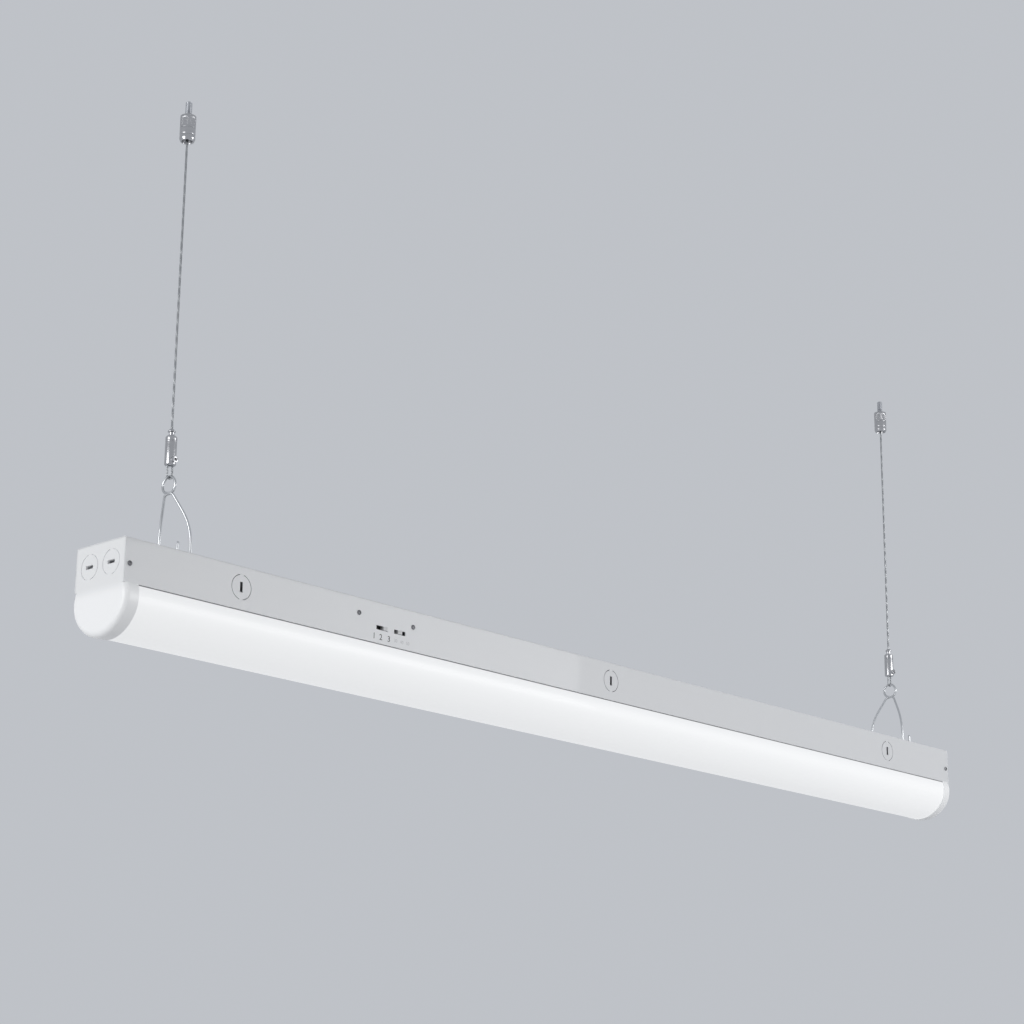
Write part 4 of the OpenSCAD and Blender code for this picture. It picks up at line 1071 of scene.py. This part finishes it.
LED_TOP = low_high("leds")[1][2]
BOARD_GAP = 4
PER_BOARD = 48
LED_STEP = (low_high("led_boards")[1][0] - BOARD_GAP / 2) / PER_BOARD
package = led_rows(1.75, 1.4, [(0, 0), (0, 0.5), (0.12, 0.7), (0.4, 0.7), (0.5, 0.55)])
window = led_rows(1.2, 0.85, [(0, 0.5), (0, 0.58), (0.45, 0.66)])
places = [[sign * (BOARD_GAP / 2 + (nth + 0.5) * LED_STEP), 0, LED_TOP]
          for sign in (-1, 1) for nth in range(PER_BOARD)]
piece("led_packages", [shell(package + place) for place in places], "light", board_white,
      ["leds"])
piece("led_windows", [shell(window + place) for place in places], "light", led_phosphor)

# ---- Driver: capacitors, choke and transformer ----

DRIVER_TOP = TOP - 0.95
DRIVER_WALL, BOARD_FREE, BOARD_T = 1.2, 0.25, 1.6
CAN_FOOT = DRIVER_TOP - DRIVER_WALL - BOARD_FREE - BOARD_T - 0.05  # just under the driver's board
choke_low, choke_high = low_high("driver_choke")
CHOKE = (choke_low + choke_high) / 2
CAN_Y = CHOKE[1] - 6
CANS = ((36, 6.3, 18), (206, 4, 12))  # place along the driver, radius, height
CAN_GAP = 4  # between the two of a pair


def can_places():
    """Each capacitor's axis, radius and height; a pair stands at each place."""
    for along, radius, height in CANS:
        for nth in (0, 1):
            yield DRIVER_LOW_X + along + nth * (2 * radius + CAN_GAP), CAN_Y, radius, height


def can_skin(x, y, radius, height):
    """The sleeve: a crimp near the board and a rolled edge round the bare top."""
    outline = eased([
        [0.3, 0], [radius - 0.3, 0], [radius, 0.4], [radius, 1.6], [radius - 0.45, 2.0],
        [radius - 0.45, 2.3], [radius, 2.8], [radius, height - 0.5], [radius - 0.5, height],
        [radius - 1.3, height], [radius - 1.3, height - 0.35], [0.3, height - 0.35],
    ], 0.25, closed=False)
    return turned(outline, (x, y, CAN_FOOT), steps=40, along=(0, 0, -1))


def vent_skin(x, y, radius, height):
    """The bare top with its scored cross."""

    def score(angle, rim, level):
        across = rim * np.minimum(np.abs(np.cos(angle)), np.abs(np.sin(angle)))
        return rim, level - 0.12 * np.clip(1 - across / 0.25, 0, 1) * (level > height - 0.2)

    edge = radius - 1.4
    outline = np.vstack([[[edge, height - 0.34]],
                         at_height(np.linspace(edge, 0.15, 9), height - 0.1)])
    return turned(outline, (x, y, CAN_FOOT), steps=40, along=(0, 0, -1), wobble=score)


piece("capacitor_sleeves", [can_skin(*can) for can in can_places()], "light", capacitor_sleeve,
      ["driver_capacitors"])
piece("capacitor_tops", [vent_skin(*can) for can in can_places()], "light", bright_zinc)

CHOKE_RING, CHOKE_CORE, CHOKE_WIRE = 7.0, 3.5, 0.5


def winding_path():
    """Wire wound round a ring: one small turn for each step round the ring."""
    turns = 20
    round_ring = np.linspace(0.35, TAU - 0.35, turns * 18 + 1)
    round_core = np.linspace(0, turns * TAU, len(round_ring))
    reach = CHOKE_CORE + CHOKE_WIRE
    radius = CHOKE_RING + reach * np.cos(round_core)
    return CHOKE + np.stack([radius * np.cos(round_ring), radius * np.sin(round_ring),
                             reach * np.sin(round_core)], axis=1)


core = np.linspace(0, TAU, 24, endpoint=False)
piece("choke_core",
      [turned(np.stack([CHOKE_RING + CHOKE_CORE * np.cos(core), CHOKE_CORE * np.sin(core)], axis=1),
              CHOKE, steps=64, ring=True)], "light", ferrite)
piece("choke_winding", [swept(winding_path(), CHOKE_WIRE, sides=7)], "light", copper_winding,
      ["driver_choke"])

core_low, core_high = low_high("driver_transformer")
CORE = (core_low + core_high) / 2
CORE_HALF = (core_high - core_low) / 2
CORE_LEG, CORE_YOKE = 4.0, 3.2


def core_skins():
    """Two E-shaped ferrite halves: yokes along both long sides and a leg at each end."""
    x, y, z = CORE_HALF - [0, 5, 0]
    skins = [block(CORE + [-x, -y, under], CORE + [x, y, under + CORE_YOKE], 0.5)
             for under in (-z, z - CORE_YOKE)]
    skins += [block(CORE + [end, -y, CORE_YOKE - z], CORE + [end + CORE_LEG, y, z - CORE_YOKE], 0.3)
              for end in (-x, x - CORE_LEG)]
    return skins


piece("transformer_core", core_skins(), "light", ferrite, ["driver_transformer"])
TAPE_HALF = CORE_HALF - [CORE_LEG + 0.4, 0, CORE_YOKE + 0.2]
piece("transformer_tape", [block(CORE - TAPE_HALF, CORE + TAPE_HALF, 2.2)], "light", tape)

# ---- Wires inside the channel ----


def bent_path(start, end, before, after):
    """An S-bend that leaves and arrives along X, from `before` mm inside to `after` mm inside."""
    start, end = np.array(start, float), np.array(end, float)
    t = np.linspace(0, 1, 40)[:, None]
    ease = (1 - np.cos(np.pi * t)) / 2
    run = end - start
    middle = np.hstack([start[0] + 3 + (run[0] - 6) * t, start[1] + run[1] * ease,
                        start[2] + run[2] * ease])
    return np.vstack([start - [before, 0, 0], middle, end + [after, 0, 0]])


WIRE_R = 1.2
BLOCK_END, BLOCK_TOP = low_high("terminal_block")[1][[0, 2]]
WIRE_Z = BLOCK_TOP - 8  # the middle of the block's holes
DRIVER_WIRE_Z = DRIVER_TOP - 14  # the holes in both ends of the driver
LED_WIRE_Z = TOP - 29.95  # where they enter the boards' connector
ground_low, ground_high = low_high("ground_screw")
GROUND_END = [(ground_low[0] + ground_high[0]) / 2, 19, ground_low[2] - 1.25]
CONNECTOR_X = low_high("board_connector")[0][0]
WIRES = {
    "supply_wires": (supply_insulation, "supply_insulation", [
        ([BLOCK_END, from_y, WIRE_Z], [DRIVER_LOW_X, to_y, DRIVER_WIRE_Z], 4, 3)
        for from_y, to_y in ((-8, -3), (0, 3))]),
    "ground_wire": (ground_insulation, "ground_insulation", [
        ([BLOCK_END, 8, WIRE_Z], GROUND_END, 4, 4)]),
    "led_wires": (led_insulation, "led_insulation", [
        ([DRIVER_HIGH_X, y, DRIVER_WIRE_Z], [CONNECTOR_X, y, LED_WIRE_Z], 3, 4)
        for y in (-3, 3)]),
}
for name, (material, slot, runs) in WIRES.items():
    piece(name.replace("wire", "lead"),
          [swept(smooth_line(bent_path(*run), 0.8), WIRE_R, sides=16) for run in runs],
          "light", material, [name])

# ---- CAD nodes that keep their shape ----

KEPT = {
    white_enamel: "channel gear_tray",
    cap_plastic: "end_cap_left end_cap_right",
    bright_zinc: "gripper_plug_left gripper_plug_right tray_brackets driver_case driver_lid",
    ball_steel: "cable_end_ball_left cable_end_ball_right jaw_balls_left jaw_balls_right",
    nylon: "swivel_seat_left swivel_seat_right",
    board_white: "led_boards",
    connector_plastic: "board_connector",
    board_green: "driver_board switch_board",
    black_plastic: "switch_bodies",
    terminal_plastic: "terminal_block",
    ground_green: "ground_screw",
}
for material, names in KEPT.items():
    for name in names.split():
        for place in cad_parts[name].material_slots:
            place.material = material

# ---- Floor, light and backdrop ----

FLOOR_Z, FLOOR_HALF = -1.25, 60.0  # metres
AMBIENT = 0.46
BACKDROP = (0.52, 0.54, 0.575)
LAMPS = (  # name, place, what it faces, width, height, watts
    ("end_lamp", (-2.2, 0.05, -0.3), (-0.6, 0, -0.41), 1.0, 1.0, 12.5),
    ("front_lamp", (1.3, -1.95, -0.1), (0.4, 0, -0.4), 1.2, 0.8, 18),
)


def make_floor():
    """A wide pale floor; the camera and mirrors see it glow at nearly the backdrop's level."""
    material, nodes = own_finish("floor")
    path = nodes.add("ShaderNodeLightPath").outputs
    direct = nodes.math("MAXIMUM", path["Is Camera Ray"], path["Is Glossy Ray"])
    grain = grain_node(nodes, (0.45, 0.455, 0.465), Shade=0.02, Grain_size=4.0, Roughness=0.8)
    close_finish(nodes, grain, Emission_Strength=1.0,
                 Emission_Color=nodes.mix(direct, (0, 0, 0, 1), (0.3, 0.315, 0.345, 1)))
    mesh = bpy.data.meshes.new("floor")
    mesh.from_pydata([(x * FLOOR_HALF, y * FLOOR_HALF, FLOOR_Z)
                      for x, y in ((-1, -1), (1, -1), (1, 1), (-1, 1))], [], [(0, 1, 2, 3)])
    mesh.materials.append(material)
    floor = bpy.data.objects.new("floor", mesh)
    bpy.context.scene.collection.objects.link(floor)


def make_lamp(name, at, aim, width, height, watts):
    """A soft rectangular lamp at one place, turned towards another."""
    data = bpy.data.lights.new(name, "AREA")
    data.shape = "RECTANGLE"
    data.size, data.size_y = width, height
    data.energy = watts
    lamp = bpy.data.objects.new(name, data)
    lamp.location = at
    lamp.rotation_euler = (Vector(aim) - Vector(at)).to_track_quat("-Z", "Y").to_euler()
    bpy.context.scene.collection.objects.link(lamp)


def make_world():
    """An even pale surround, which the camera and mirrors see at the backdrop's brightness."""
    world = bpy.data.worlds.new("surround")
    bpy.context.scene.world = world
    world.use_nodes = True
    world.node_tree.nodes.clear()
    nodes = Nodes(world.node_tree)
    path = nodes.add("ShaderNodeLightPath").outputs
    direct = nodes.math("MAXIMUM", path["Is Camera Ray"], path["Is Transmission Ray"])
    direct = nodes.math("MAXIMUM", direct, path["Is Glossy Ray"])
    light = nodes.add("ShaderNodeBackground", {"Color": (0.97, 0.985, 1, 1), "Strength": AMBIENT})
    seen = nodes.add("ShaderNodeBackground", {"Color": (*BACKDROP, 1), "Strength": 1.0})
    both = nodes.add("ShaderNodeMixShader", {0: direct, 1: light.outputs[0], 2: seen.outputs[0]})
    nodes.add("ShaderNodeOutputWorld", {"Surface": both.outputs[0]})


make_floor()
for lamp in LAMPS:
    make_lamp(*lamp)
make_world()
bpy.context.scene.view_settings.view_transform = "Standard"
